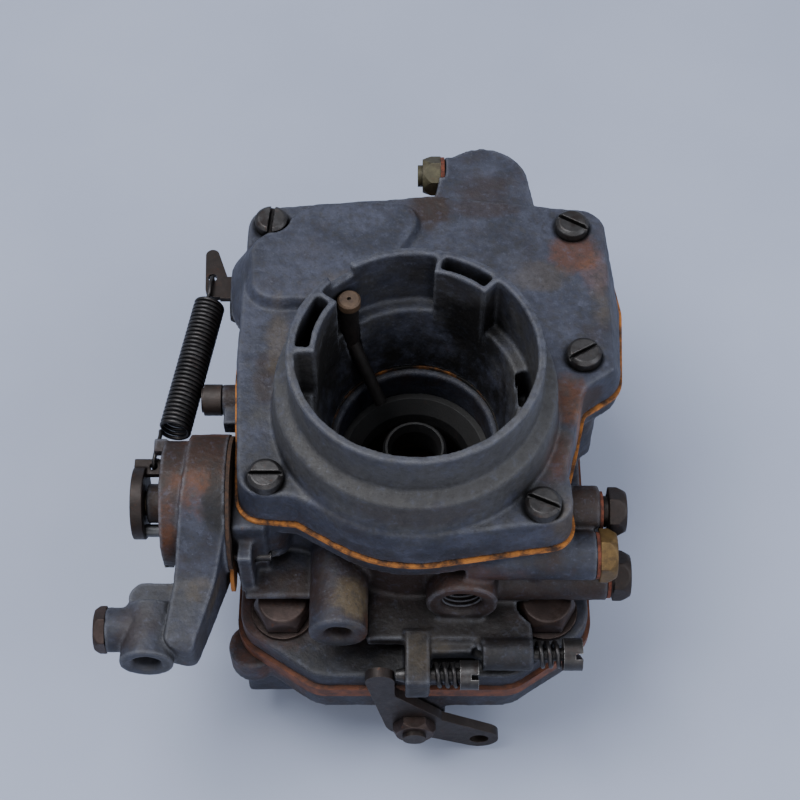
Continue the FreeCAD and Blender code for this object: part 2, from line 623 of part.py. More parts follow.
def make_throttle_body():
    top = "throttle_top"
    flange = plate("ThrottleFlange", FLANGE_RING, "upper_flange", (0, 0, f"{top} - upper_flange"))
    foot = plate("ThrottleFoot", STUD_RING, "lower_flange", (0, 0, 0))
    barrel = cylinder("throttle_barrel", top, (0, 0, 0))
    front = cylinder("bearing_boss", "-boss_front", (0, 0, "shaft_z"), "-y")
    back = cylinder("bearing_boss", "boss_back", (0, 0, "shaft_z"), "y")
    web = block(10, "boss_back - 10", 8, (-5, 0, "shaft_z"))
    lug = cylinder("lug_r", "upper_flange", ("lug_x", "lug_y", f"{top} - upper_flange"))
    chest = block(16, 18, f"{top} - upper_flange - chest_low + 1", ("chest_left", "chest_front", "chest_low"))
    outer = fuse(flange, foot, barrel, front, back, web, lug, chest)
    tools = [
        cylinder("throttle_radius", 60, (0, 0, -10)),
        cylinder("shaft_radius + running_gap", "boss_back - boss_front + 10",
                 (0, "boss_front - 5", "shaft_z"), "y"),
    ]
    for x in ("-stud_x", "stud_x"):
        tools.append(cylinder("stud_hole", "through", (x, 0, -5)))
        tools.append(cylinder("stud_ear - 1", 12, (x, 0, "lower_flange")))
    for x, y in BOLTS:
        tools.append(cylinder("bolt_thread", "through", (x, y, f"{top} - 14")))
    return cut(outer, *tools)


def make_insulator():
    layer = plate("InsulatorSheet", FLANGE_RING, "insulator_thick", (0, 0, "throttle_top"),
                  grow="insulator_proud")
    tools = [cylinder("bore_radius", "through", (0, 0, "throttle_top - 5"))]
    for x, y in BOLTS:
        tools.append(cylinder("bolt_hole", "through", (x, y, "throttle_top - 5")))
    return cut(layer, *tools)


sizes(bolt_radius=3.9, bolt_across=13, bolt_head=5.4, bolt_long=21, washer_radius=8.0, washer_thick=1.2)


def make_bolts():
    bolts = []
    seat = "bowl_floor + washer_thick"
    for x, y in BOLTS:
        head = hexagon("bolt_across", "bolt_head", (x, y, seat))
        crown = cone("bolt_across * hex_ease", "bolt_across * 0.46", "bolt_head + 0.01", (x, y, seat))
        shank = cylinder("bolt_radius", "bolt_long", (x, y, f"{seat} - bolt_long"))
        bolts.append(fuse(common(head, crown), shank))
    return group(bolts)


def make_bolt_washers():
    washers = []
    for x, y in BOLTS:
        disc = cylinder("washer_radius", "washer_thick", (x, y, "bowl_floor"))
        washers.append(cut(disc, cylinder("bolt_hole", 5, (x, y, "bowl_floor - 1"))))
    return group(washers)


node(make_throttle_body(), "throttle_body")
node(make_insulator(), "flange_insulator")
node(make_bolts(), "flange_bolts")
node(make_bolt_washers(), "flange_washers")

# ---------------------------------------------------------------------------------------------
# Inside the air passage: main venturi, boost venturi, pump jet and the fuel metering pieces
# ---------------------------------------------------------------------------------------------

sizes(
    venturi_low=45, venturi_high=62.9, venturi_throat=13.5, venturi_mouth=17.4, venturi_exit=16.6,
    emulsion_hole=1.2, emulsion_port=0.45, port_pitch=3.5,
    boost_outer=8, boost_inner=6, boost_low=56, boost_high=67.5, boost_arm=2.2, boost_arm_z=65.2,
)


def make_main_venturi():
    outside = "bore_radius - running_gap"
    return turned("MainVenturi", [
        ("venturi_exit", "venturi_low"), (outside, "venturi_low"), (outside, "venturi_high"),
        ("venturi_mouth", "venturi_high"), ("venturi_throat + 0.9", "venturi_high - 3"),
        ("venturi_throat", "venturi_high - 5.5"), ("venturi_throat", "venturi_high - 7"),
    ], (0, 0, 0))


def make_boost_venturi():
    ring = turned("BoostRing", [
        ("boost_inner + 0.9", "boost_low"), ("boost_outer - 0.4", "boost_low"),
        ("boost_outer", "boost_low + 2"), ("boost_outer", "boost_high - 1"),
        ("boost_outer - 0.7", "boost_high"), ("boost_outer - 1.2", "boost_high"),
        ("boost_inner", "boost_high - 2.5"), ("boost_inner", "boost_low + 3"),
    ], (0, 0, 0))
    reach = "bore_radius - running_gap - boost_outer + 1.5"
    arm = cylinder("boost_arm", reach, (0, "1.5 - boost_outer", "boost_arm_z"), "-y")
    drilling = cylinder("boost_arm - 1.1", 30, (0, "-boost_inner + 1", "boost_arm_z"), "-y")
    core = cylinder("boost_inner", "through", (0, 0, "boost_low - 2"))
    room = cylinder("bore_radius - running_gap", 40, (0, 0, "boost_low - 10"))
    return cut(common(fuse(ring, arm), room), drilling, core)


def make_pump_tube():
    stem = cylinder("tube_radius", "cap_top - cap_high - tube_low", ("tube_x", "tube_y", "tube_low"))
    return fuse(stem, nozzle("nozzle_radius"))


def make_pump_cap():
    low = "cap_top - cap_high"
    disc = cylinder("cap_radius", "cap_high - 0.5", ("tube_x", "tube_y", low))
    crown = cone("cap_radius", "cap_radius - 0.5", 0.5, ("tube_x", "tube_y", f"{low} + cap_high - 0.5"))
    return cut(fuse(disc, crown), cylinder(0.5, 2, ("tube_x", "tube_y", "cap_top - 0.8")))


def make_emulsion_tube():
    tube = cylinder("emulsion_bore - running_gap", 19, ("emulsion_x", "emulsion_y", 50))
    tools = [cylinder("emulsion_hole", "through + 10", ("emulsion_x", "emulsion_y", 49))]
    for level in range(4):
        tools.append(cylinder("emulsion_port", "2 * past + 4",
                              ("emulsion_x - 3", "emulsion_y", f"54 + {level} * port_pitch"), "x"))
    return cut(tube, *tools)


def make_air_jet():
    jet = cylinder("emulsion_bore - running_gap", 2.8, ("emulsion_x", "emulsion_y", 69))
    slot = block(6, 0.6, 1, ("emulsion_x - 3", "emulsion_y - 0.3", 71.2))
    return cut(jet, slot, cylinder(0.8, 5, ("emulsion_x", "emulsion_y", 68)))


node(make_main_venturi(), "main_venturi")
node(make_boost_venturi(), "boost_venturi")
node(make_pump_tube(), "pump_jet_tube")
node(make_pump_cap(), "pump_jet_cap")
node(make_emulsion_tube(), "emulsion_tube")
node(make_air_jet(), "air_jet")

# Plugs on the right-hand side, their fibre washers and the main jet behind the brass carrier.
sizes(
    plug_a_across=10.5, plug_a_neck=1.4, plug_a_hex=4.4,
    plug_b_across=11.5, plug_b_neck=0.0, plug_b_hex=4.2,
    plug_c_across=11.0, plug_c_neck=0.6, plug_c_hex=4.4,
    fibre_thick=0.8, plug_thread=2.95, jet_radius=2.4,
)


def make_plug(letter, collar):
    y, z = f"plug_{letter}_y", f"plug_{letter}_z"
    seat = f"plug_{letter}_x + fibre_thick"
    across, tall, neck = (f"plug_{letter}_{word}" for word in ("across", "hex", "neck"))
    rod = cylinder("plug_thread", f"plug_bore_deep - 3 + {neck}", (f"{seat} + {neck}", y, z), "-x")
    head = hexagon(across, tall, (f"{seat} + {neck}", y, z), "x")
    crown = cone(f"{across} * hex_ease", f"{across} * 0.47", f"{tall} + 0.01", (f"{seat} + {neck}", y, z), "x")
    pieces = [common(head, crown), rod]
    if collar:
        pieces.append(cylinder(collar, f"{neck} + 0.02", (seat, y, z), "x"))
    return fuse(*pieces)


def make_fibre_washers():
    washers = []
    for letter, radius in (("a", 5.0), ("b", 5.7), ("c", 5.6)):
        at = (f"plug_{letter}_x", f"plug_{letter}_y", f"plug_{letter}_z")
        disc = cylinder(radius, "fibre_thick", at, "x")
        hole = cylinder("plug_bore", 4, (f"plug_{letter}_x - 1", at[1], at[2]), "x")
        washers.append(cut(disc, hole))
    return group(washers)


def make_main_jet():
    start = "plug_b_x - plug_bore_deep + 0.1"
    jet = cylinder("jet_radius", 2.6, (start, "plug_b_y", "plug_b_z"), "x")
    return cut(jet, cylinder(0.7, 6, (f"{start} - 1", "plug_b_y", "plug_b_z"), "x"))


node(make_plug("a", 3.9), "upper_plug")
node(make_plug("b", None), "jet_carrier")
node(make_plug("c", 5.4), "lower_plug")
node(make_fibre_washers(), "plug_washers")
node(make_main_jet(), "main_jet")

# ---------------------------------------------------------------------------------------------
# Fuel inlet: union, washer, filter, needle seat, needle, float and its pin
# ---------------------------------------------------------------------------------------------

sizes(
    union_across=9.2, union_hex=4.8, union_pipe=1.3, union_bore=1.8, union_washer=1.0, union_thread=3.15,
    seat_across=9, seat_hex=2.5, seat_throat=0.9, guide_long=6.2,
    needle_bore=1.58, needle_point=0.4, point_long=1.2, needle_radius=1.5, needle_low=66.45, needle_high=72.6,
    float_left=-31, float_right=-1, float_front=35.5, float_back=55, float_low=47.5, float_high=61.5,
    float_corner=5, arm_wide=6, arm_top=66, arm_thick=1.2, knuckle=2.2,
)


def make_union():
    seat = "inlet_face - union_washer"
    at = (seat, "inlet_y", "inlet_z")
    hexed = hexagon("union_across", "union_hex", at, "-x")
    crown = cone("union_across * hex_ease", "union_across * 0.48", "union_hex + 0.01", at, "-x")
    pipe = cylinder(2.9, "union_hex + union_pipe", at, "-x")
    thread = cylinder("union_thread", 6, at, "x")
    return cut(fuse(common(hexed, crown), pipe, thread),
               cylinder("union_bore", 30, (f"{seat} + 10", "inlet_y", "inlet_z"), "-x"))


def make_inlet_washer():
    disc = cylinder(5.0, "union_washer", ("inlet_face", "inlet_y", "inlet_z"), "-x")
    return cut(disc, cylinder("inlet_bore", 4, ("inlet_face + 1", "inlet_y", "inlet_z"), "-x"))


def make_filter():
    at = ("inlet_face + 5.1", "inlet_y", "inlet_z")
    tube = cylinder(2.6, 4.4, at, "x")
    return cut(tube, cylinder(2.2, 4.0, ("inlet_face + 4.9", "inlet_y", "inlet_z"), "x"))


def make_seat():
    body = cylinder("seat_bore - running_gap", "seat_long", ("seat_x", "seat_y", "cover_base"))
    head = hexagon("seat_across", "seat_hex", ("seat_x", "seat_y", "cover_base - seat_hex"))
    guide = cylinder("needle_bore", "guide_long", ("seat_x", "seat_y", "cover_base - seat_hex - 1"))
    throat = cylinder("seat_throat", "through", ("seat_x", "seat_y", "cover_base - seat_hex - 1"))
    return cut(fuse(body, head), guide, throat)


def make_needle():
    shank = cylinder("needle_radius", "needle_high - needle_low", ("seat_x", "seat_y", "needle_low"))
    tip = cone("needle_radius", "needle_point", "point_long", ("seat_x", "seat_y", "needle_high"))
    return fuse(shank, tip)


FLOAT_RING = [
    ("float_left + float_corner", "float_front + float_corner", "float_corner", 1),
    ("float_right - float_corner", "float_front + float_corner", "float_corner", 1),
    ("float_right - float_corner", "float_back - float_corner", "float_corner", 1),
    ("float_left + float_corner", "float_back - float_corner", "float_corner", 1),
]


def make_float():
    shell = plate("FloatShell", FLOAT_RING, "float_high - float_low", (0, 0, "float_low"))
    arm_front = "seat_y - arm_wide / 2"
    post = block(2, "arm_wide", "arm_top - float_high", ("float_right - 4", f"{arm_front} - 1", "float_high"))
    arm = block("pivot_x - float_right + 4", "arm_wide", "arm_thick",
                ("float_right - 4", f"{arm_front} - 1", "arm_top - arm_thick"))
    eye = cylinder("knuckle", "arm_wide", ("pivot_x", f"{arm_front} - 1", "pivot_z"), "y")
    hole = cylinder("pin_radius + running_gap", "through", ("pivot_x", "pin_front - 3", "pivot_z"), "y")
    return cut(fuse(shell, post, arm, eye), hole)


def make_float_pin():
    return cylinder("pin_radius", "pin_back - pin_front + 0.6", ("pivot_x", "pin_front - 0.3", "pivot_z"), "y")


node(make_union(), "inlet_union")
node(make_inlet_washer(), "inlet_washer")
node(make_filter(), "inlet_filter")
node(make_seat(), "needle_seat")
node(make_needle(), "float_needle")
node(make_float(), "float")
node(make_float_pin(), "float_pin")

# ---------------------------------------------------------------------------------------------
# Starter (cold-start) device on the left: gasket, bracket cover with cable clamp, shaft, valve
# disc, lever with its cable stud, return spring and anchor
# ---------------------------------------------------------------------------------------------

sizes(
    starter_gasket=0.9, bracket_left=-55.3, bracket_radius=17, housing_left=-61.5, housing_radius=15.4,
    hub_left=-65.9, hub_radius=4.9, valve_room=8.6, valve_room_left=-52.5,
    groove_radius=8.9, groove_deep=2.3, seam_wide=0.4, gasket_lobe=5.2, tab_wide=4.4, tab_thick=1.8,
    clamp_x=-63.6, clamp_z=59.5, clamp_front=-55.2, clamp_back=-41, clamp_radius=6.4, clamp_bore=3.25,
    sheath_end=-42.2, wire_bore=1.1, heel_back=-35.6, heel_radius=4, heel_low=54, heel_top=63.4,
    pinch_y=-46.2, pinch_left=-73.6, pinch_radius=5.3, pinch_bore=2.55, pinch_across=10, pinch_hex=2.8,
    lever_left=-69.3, lever_thick=3, lever_radius=9, starter_shaft_r=3,
    lever_tab_y=-8.5, lever_tab_z=66.9,
    valve_thick=3, valve_radius=8,
    cable_stud_y=-5.75, cable_stud_z=-3.6, cable_stud_r=1.6, cable_stud_long=9.5,
)
BRACKET_ARM = [
    (-54.5, -12, 0.8, 1),
    (-56.2, -50.2, 3.0, 1),
    (-54.2, -51.6, 2.4, 1),
    (-50.6, -41.6, 1.4, 1),
    (-46.5, -26.5, 1.0, 1),
    (-46.3, -14, 0.8, 1),
]
BRACKET_SIDE = [
    (-13.5, 63, 17, 1),
    (-38.5, 71.5, 6, -1),
    (-50.2, 61.4, 4.2, 1),
    (-50.2, 57.8, 4.2, 1),
]
HEEL_RING = [
    ("clamp_x - 1", "heel_back - heel_radius", "heel_radius", 1),
    ("clamp_x + 7", "heel_back - heel_radius", "heel_radius", 1),
]


def make_starter_gasket():
    disc = cylinder("bracket_radius - 0.4", "starter_gasket", ("pad_left", "starter_y", "starter_z"), "-x")
    lobe = cylinder("gasket_lobe", "starter_gasket", ("pad_left", "starter_y - 13", "starter_z - 11"), "-x")
    tools = [cylinder("starter_bore", 5, ("pad_left + 1", "starter_y", "starter_z"), "-x")]
    for side in (-1, 1):
        tools.append(cylinder("small_clear", 5, ("pad_left + 1", f"starter_y + {side} * starter_screw_y",
                                                 "starter_z - starter_screw_z"), "-x"))
    return cut(fuse(disc, lobe), *tools)


def make_bracket():
    right = "pad_left - starter_gasket"
    disc = cylinder("bracket_radius", f"{right} - bracket_left",
                    ("bracket_left", "starter_y", "starter_z"), "x")
    housing = cylinder("housing_radius", "bracket_left - housing_left + 0.5",
                       ("housing_left", "starter_y", "starter_z"), "x")
    hub = cylinder("hub_radius", "housing_left - hub_left + 1", ("hub_left", "starter_y", "starter_z"), "x")
    ear = block(3.2, 3.6, 2.4, ("housing_left - 2.7", "starter_y + 9", "starter_z + 7.6"))
    plan = plate("ArmPlan", BRACKET_ARM, 60, (0, 0, 30))
    side = plate("ArmSide", BRACKET_SIDE, 30, (-75, 0, 0), plane="YZ_Plane")
    arm = common(plan, side)
    clamp = cylinder("clamp_radius", "clamp_back - clamp_front", ("clamp_x", "clamp_front", "clamp_z"), "y")
    heel = plate("ClampHeel", HEEL_RING, "heel_top - heel_low", (0, 0, "heel_low"))
    pinch = cylinder("pinch_radius", "clamp_x - pinch_left", ("pinch_left", "pinch_y", "clamp_z"), "x")
    outer = fuse(disc, housing, hub, ear, arm, clamp, heel, pinch)
    groove = cylinder("groove_radius", "groove_deep + 1", ("housing_left - 1", "starter_y", "starter_z"), "x")
    seam = block("seam_wide", "clamp_back - clamp_front - 3", "past",
                 ("clamp_x - seam_wide / 2", "clamp_front + 2", "clamp_z + clamp_radius - 0.5"))
    tools = [
        cut(groove, cylinder("hub_radius", "through", ("hub_left - 2", "starter_y", "starter_z"), "x")),
        seam,
        cylinder("wire_bore", "through", ("clamp_x", "sheath_end - 1", "clamp_z"), "y"),
        cylinder("starter_shaft_r + running_gap", 40, ("hub_left - 2", "starter_y", "starter_z"), "x"),
        cylinder("valve_room", "through", ("valve_room_left", "starter_y", "starter_z"), "x"),
        cylinder("clamp_bore", "sheath_end - clamp_front + 5", ("clamp_x", "clamp_front - 5", "clamp_z"), "y"),
        cone("clamp_bore + 0.8", "clamp_bore", 1, ("clamp_x", "clamp_front", "clamp_z"), "y"),
        cylinder("pinch_bore", "clamp_x - pinch_left + 1", ("pinch_left - 1", "pinch_y", "clamp_z"), "x"),
    ]
    for side in (-1, 1):
        at = ("housing_left - 5", f"starter_y + {side} * starter_screw_y", "starter_z - starter_screw_z")
        tools.append(cylinder("small_clear", "2 * through", at, "x"))
        tools.append(cylinder("starter_head + 0.2", 7, at, "x"))
    return cut(outer, *tools)


def make_starter_screws():
    screws = []
    for side in (-1, 1):
        y = f"starter_y + {side} * starter_screw_y"
        z = "starter_z - starter_screw_z"
        head = cylinder("starter_head", 2.2, ("housing_left - 0.2", y, z), "x")
        shank = cylinder(1.45, 26, ("housing_left", y, z), "x")
        slot = block(1.2, 8, 0.7, ("housing_left - 0.3", f"{y} - 4", f"{z} - 0.35"))
        screws.append(cut(fuse(head, shank), slot))
    return group(screws)


def make_pinch_screw():
    at = ("pinch_left", "pinch_y", "clamp_z")
    head = hexagon("pinch_across", "pinch_hex", at, "-x")
    crown = cone("pinch_across * hex_ease", "pinch_across * 0.49", "pinch_hex + 0.01", at, "-x")
    shank = cylinder("pinch_bore - running_gap", "clamp_x - pinch_left - clamp_bore - 0.4", at, "x")
    return fuse(common(head, crown), shank)


def make_starter_shaft():
    return cylinder("starter_shaft_r", "valve_room_left + 2 - lever_left",
                    ("lever_left", "starter_y", "starter_z"), "x")


def make_valve_disc():
    at = ("valve_room_left + 2", "starter_y", "starter_z")
    disc = cylinder("valve_radius", "valve_thick", at, "x")
    ports = [cylinder(1.6, 8, ("valve_room_left", f"starter_y + {y}", f"starter_z + {z}"), "x")
             for y, z in ((4.8, 0), (-2.4, 4.2), (-2.4, -4.2))]
    return cut(disc, *ports)


def make_starter_lever():
    disc = cylinder("lever_radius", "lever_thick", ("lever_left", "starter_y", "starter_z"), "x")
    tab = block("lever_thick + 3.6", "tab_wide", "tab_thick", ("lever_left", "lever_tab_y", "lever_tab_z"))
    tools = [
        cylinder("starter_shaft_r", 10, ("lever_left - 2", "starter_y", "starter_z"), "x"),
        cylinder("cable_stud_r", 10,
                 ("lever_left - 2", "starter_y + cable_stud_y", "starter_z + cable_stud_z"), "x"),
        cylinder(0.9, 8, ("lever_left + 4.8", "lever_tab_y + tab_wide / 2", "lever_tab_z - 3")),
    ]
    return cut(fuse(disc, tab), *tools)


def make_cable_stud():
    at = ("lever_left", "starter_y + cable_stud_y", "starter_z + cable_stud_z")
    return cylinder("cable_stud_r", "cable_stud_long", at, "x")


sizes(
    spring_radius=4, spring_wire=0.53, spring_pitch=1.2,
    spring_front_x=-59.9, spring_front_y=3.2, spring_front_z=69.5,
    spring_back_x=-53.4, spring_back_y=41.6, spring_back_z=70,
    blade_right=-50.2, blade_low=69.2, blade_thick=1.5, loop_x=-53, loop_y=50.2, blade_hole=1.2,
    foot_wide=7, foot_low=56.5, anchor_across=6.5, anchor_hex=2.6, hook_wire=0.55, screw_reach=7,
    side_plug_r=4.0, side_plug_high=4.4, side_plug_rim=3.2, side_plug_top=5.0,
)
BLADE_RING = [
    (-53.4, 57.6, 1.8, 1),
    (-51.8, 46.8, 2.9, 1),
    (-49.2, 45.7, 1.6, 1),
]


def straight_wire(start, end, radius):
    """A straight round wire between two points given in millimetres."""
    first, last = FreeCAD.Vector(*start), FreeCAD.Vector(*end)
    return cylinder(radius, (last - first).Length, [str(c) for c in start],
                    FreeCAD.Rotation(FreeCAD.Vector(0, 0, 1), last - first))


def make_return_spring():
    front = FreeCAD.Vector(*(value(f"spring_front_{c}") for c in "xyz"))
    back = FreeCAD.Vector(*(value(f"spring_back_{c}") for c in "xyz"))
    lie = FreeCAD.Rotation(FreeCAD.Vector(0, 0, 1), back - front)
    turns = coil("ReturnCoil", "spring_radius", "spring_wire", "spring_pitch",
                 str(round((back - front).Length, 2)), [f"spring_front_{c}" for c in "xyz"], lie)
    hook = straight_wire((front.x - 3.2, front.y - 0.4, front.z), (-64.45, -6.2, 69.5), "hook_wire")
    loop = straight_wire((back.x, back.y + 0.4, back.z + 1.2), (value("loop_x"), value("loop_y"), 71.6),
                         "hook_wire")
    return group([turns, hook, loop])


def make_spring_anchor():
    foot = block("blade_thick", "foot_wide", "blade_low + blade_thick - foot_low",
                 ("anchor_x - blade_thick", "anchor_y - foot_wide / 2", "foot_low"))
    bridge = block("anchor_x - blade_right + 0.5", "foot_wide", "blade_thick",
                   ("blade_right - 0.5", "anchor_y - foot_wide / 2", "blade_low"))
    blade = plate("AnchorBlade", BLADE_RING, "blade_thick", (0, 0, "blade_low"))
    hole = cylinder("blade_hole", "through", ("loop_x", "loop_y", "blade_low - 2"))
    bolt = cylinder("small_tap + running_gap", "through", ("anchor_x + 2", "anchor_y", "anchor_z"), "-x")
    return cut(fuse(foot, bridge, blade), hole, bolt)


def make_anchor_screw():
    at = ("anchor_x - blade_thick", "anchor_y", "anchor_z")
    head = hexagon("anchor_across", "anchor_hex", at, "-x")
    crown = cone("anchor_across * hex_ease", "anchor_across * 0.49", "anchor_hex + 0.01", at, "-x")
    return fuse(common(head, crown), cylinder("small_rod", "screw_reach", at, "x"))


def make_side_plug():
    at = ("stub_x", "stub_y", "stub_z")
    head = cylinder("side_plug_r", "side_plug_high", at, "-x")
    rim = cylinder("side_plug_rim", "side_plug_top", at, "-x")
    return fuse(head, rim, cylinder("small_tap", "screw_reach", at, "x"))


node(make_starter_gasket(), "starter_gasket")
node(make_bracket(), "starter_bracket")
node(make_starter_screws(), "starter_screws")
node(make_pinch_screw(), "cable_pinch_screw")
node(make_starter_shaft(), "starter_shaft")
node(make_valve_disc(), "starter_valve_disc")
node(make_starter_lever(), "starter_lever")
node(make_cable_stud(), "cable_stud")
node(make_return_spring(), "return_spring")
node(make_spring_anchor(), "spring_anchor")
node(make_anchor_screw(), "anchor_screw")
node(make_side_plug(), "side_plug")

# ---------------------------------------------------------------------------------------------
# Throttle: shaft, plate, its screws, lever, nut, and the two adjusting screws with springs
# ---------------------------------------------------------------------------------------------

sizes(
    shaft_thread=3, shaft_front=-57.4, shaft_back=43.5, lever_face=-53.2, throttle_lever_thick=2.5,
    plate_radius=17.85, plate_thick=1.5, hub_r=7.5, tip_x=-8.6, tip_z=44.3, tip_r=3.6, foot_x=17, foot_z=8,
    foot_r=5, nut_across=9.5, nut_thick=3, arm_hole=1.1, throttle_arm=5.4, throttle_arm_turn=39,
    stop_tip=-4.7, stop_head_x=11, stop_head_r=3.6, stop_head_long=4.5,
    mix_head_x=36.4, mix_head_r=4, mix_head_long=4.7, small_wire=0.6, small_pitch=2.0,
    small_long=5.8, side_slot=1.4, slot_turn=-57, slot_long=12, slot_deep_side=1.8, tip_long=2,
    plate_hole=1.3, plate_head=2.3, plate_head_high=1.6, plate_screw_y=9, fine_slot=0.7,
    stop_coil=3.2, mix_coil=3.5, coil_gap=0.1, link_hole=2.5, mix_tip=21,
)
PLATE_SCREWS = ("-plate_screw_y", "plate_screw_y")


def plate_holes():
    return [cylinder("plate_hole", "through", (0, y, "shaft_z - through / 2")) for y in PLATE_SCREWS]


def make_throttle_shaft():
    rod = cylinder("shaft_radius", "shaft_back - lever_face - throttle_lever_thick",
                   (0, "lever_face + throttle_lever_thick", "shaft_z"), "y")
    thread = cylinder("shaft_thread", "lever_face + throttle_lever_thick - shaft_front",
                      (0, "shaft_front", "shaft_z"), "y")
    slot = block("4 * shaft_radius", "2 * plate_radius + 0.6", "plate_thick + 0.04",
                 ("-2 * shaft_radius", "-plate_radius - 0.3", "shaft_z - plate_thick / 2 - 0.02"))
    return cut(fuse(rod, thread), slot, *plate_holes())


def make_throttle_plate():
    disc = cylinder("plate_radius", "plate_thick", (0, 0, "shaft_z - plate_thick / 2"))
    return cut(disc, *plate_holes())


def make_plate_screws():
    screws = []
    for y in PLATE_SCREWS:
        shank = cylinder("plate_hole - running_gap", "2 * shaft_radius", (0, y, "shaft_z - shaft_radius"))
        head = cylinder("plate_head", "plate_head_high", (0, y, "shaft_z + shaft_radius"))
        slot = block("2 * plate_head + 2 * past", "fine_slot", "past", (
            "-plate_head - past", f"{y} - fine_slot / 2", "shaft_z + shaft_radius + plate_head_high / 2"))
        screws.append(cut(fuse(shank, head), slot))
    return group(screws)


LEVER_UP = [
    (0, "shaft_z", "hub_r", 1),
    (-2.0, 37.0, 3.0, -1),
    ("tip_x", "tip_z", "tip_r", 1),
]
LEVER_DOWN = [
    (0, "shaft_z", "hub_r - 1.5", 1),
    ("foot_x", "foot_z", "foot_r", 1),
]


def front_plate(name, ring, thick, back):
    """A flat plate standing in the XZ plane, with its back face at y = back."""
    return plate(name, ring, thick, (0, back, 0), plane="XZ_Plane")


def make_throttle_lever():
    back = "lever_face + throttle_lever_thick"
    up = front_plate("LeverUp", LEVER_UP, "throttle_lever_thick", back)
    down = front_plate("LeverDown", LEVER_DOWN, "throttle_lever_thick", back)
    holes = [
        cylinder("shaft_thread", "through", (0, "lever_face - past", "shaft_z"), "y"),
        cylinder("link_hole", "through", ("foot_x", "lever_face - past", "foot_z"), "y"),
    ]
    return cut(fuse(up, down), *holes)


def make_lever_nut():
    nut = hexagon("nut_across", "nut_thick", (0, "lever_face", "shaft_z"), "-y")
    crown = cone("nut_across * hex_ease", "nut_across * 0.49", "nut_thick + 0.01",
                 (0, "lever_face", "shaft_z"), "-y")
    hole = cylinder("shaft_thread", "through", (0, "lever_face + past", "shaft_z"), "-y")
    return cut(common(nut, crown), hole)


ARM_RING = [
    (0, "shaft_z", 5.6, 1),
    ("throttle_arm * sin(throttle_arm_turn * 1 deg)", "shaft_z + throttle_arm * cos(throttle_arm_turn * 1 deg)",
     3.4, 1),
]


def make_pump_arm():
    arm = front_plate("PumpArm", ARM_RING, 2, "shaft_back")
    neck = cylinder("shaft_radius", 6, (0, "shaft_back - 3", "shaft_z"), "y")
    eye = cylinder("arm_hole + running_gap", 10,
                   ("throttle_arm * sin(throttle_arm_turn * 1 deg)", "shaft_back - 5",
                    "shaft_z + throttle_arm * cos(throttle_arm_turn * 1 deg)"), "y")
    return cut(arm, neck, eye)


def slotted_screw(head_x, head_r, head_long, shank_r, tip_x, y, z, tip_taper):
    """A screw along X with a slotted head at its right-hand end."""
    head = cylinder(head_r, head_long, (head_x, y, z), "x")
    turn = FreeCAD.Rotation(FreeCAD.Vector(1, 0, 0), value("slot_turn"))
    corner = turn.multVec(FreeCAD.Vector(0, -value("slot_long") / 2, -value("side_slot") / 2))
    at = (f"{head_x} + {head_long} - slot_deep_side", f"{y} + ({corner.y})", f"{z} + ({corner.z})")
    slot = block("slot_deep_side + past", "slot_long", "side_slot", at, turn)
    shank = cylinder(shank_r, f"{head_x} - ({tip_x}) - tip_long + past / 2", (f"{tip_x} + tip_long", y, z), "x")
    tip = cone(f"{shank_r} * {tip_taper}", shank_r, "tip_long", (tip_x, y, z), "x")
    return cut(fuse(head, shank, tip), slot)


def make_stop_screw():
    return slotted_screw("stop_head_x", "stop_head_r", "stop_head_long", "stop_radius", "stop_tip",
                         "stop_y", "stop_z", 0.75)


def make_mixture_screw():
    return slotted_screw("mix_head_x", "mix_head_r", "mix_head_long", "mix_radius", "mix_tip",
                         "mix_y", "mix_z", 0.15)


def make_stop_spring():
    start = "rib_x + rib_wide + small_wire + coil_gap"
    return coil("StopCoil", "stop_coil", "small_wire", "small_pitch", "small_long",
                (start, "stop_y", "stop_z"), "x")


def make_mixture_spring():
    start = "mix_boss_x + small_wire + coil_gap"
    return coil("MixtureCoil", "mix_coil", "small_wire", "small_pitch", "small_long",
                (start, "mix_y", "mix_z"), "x")


node(make_throttle_shaft(), "throttle_shaft")
node(make_throttle_plate(), "throttle_plate")
node(make_plate_screws(), "plate_screws")
node(make_throttle_lever(), "throttle_lever")
node(make_lever_nut(), "lever_nut")
node(make_pump_arm(), "pump_arm")
node(make_stop_screw(), "throttle_stop_screw")
node(make_stop_spring(), "stop_screw_spring")
node(make_mixture_screw(), "mixture_screw")
node(make_mixture_spring(), "mixture_screw_spring")

# ---------------------------------------------------------------------------------------------
# Accelerating pump at the lower back: diaphragm, cover, plunger, lever, pin and link
# ---------------------------------------------------------------------------------------------

sizes(
    diaphragm_thick=0.6, pump_cover_thick=5, pump_rod=1.5, ear_front=51.5, ear_back=59.2,
    plunger_disc=5.6, plunger_thick=1.4,
    lever_pivot_x=46, lever_pivot_z=35, lever_pin=1.5, push_arm=8, link_arm=14, lever_lean=14.05,
    lever_plane=45.6, pump_lever_thick=2, link_plane=43.8, link_thick=1.5, link_pin=1.1, slot_high=2.6,
)


def ring_of_holes(radius, start, long):
    return [cylinder(radius, long, (start, f"pump_y + {dy}", f"pump_z + {dz}"), "x") for dy, dz in PUMP_SCREWS]


def make_diaphragm():
    disc = cylinder("pump_radius", "diaphragm_thick", ("pump_face", "pump_y", "pump_z"), "x")
    window = cylinder("plunger_disc + 0.4", 5, ("pump_face - 1", "pump_y", "pump_z"), "x")
    return cut(disc, window, *ring_of_holes(1.6, "pump_face - 1", 5))


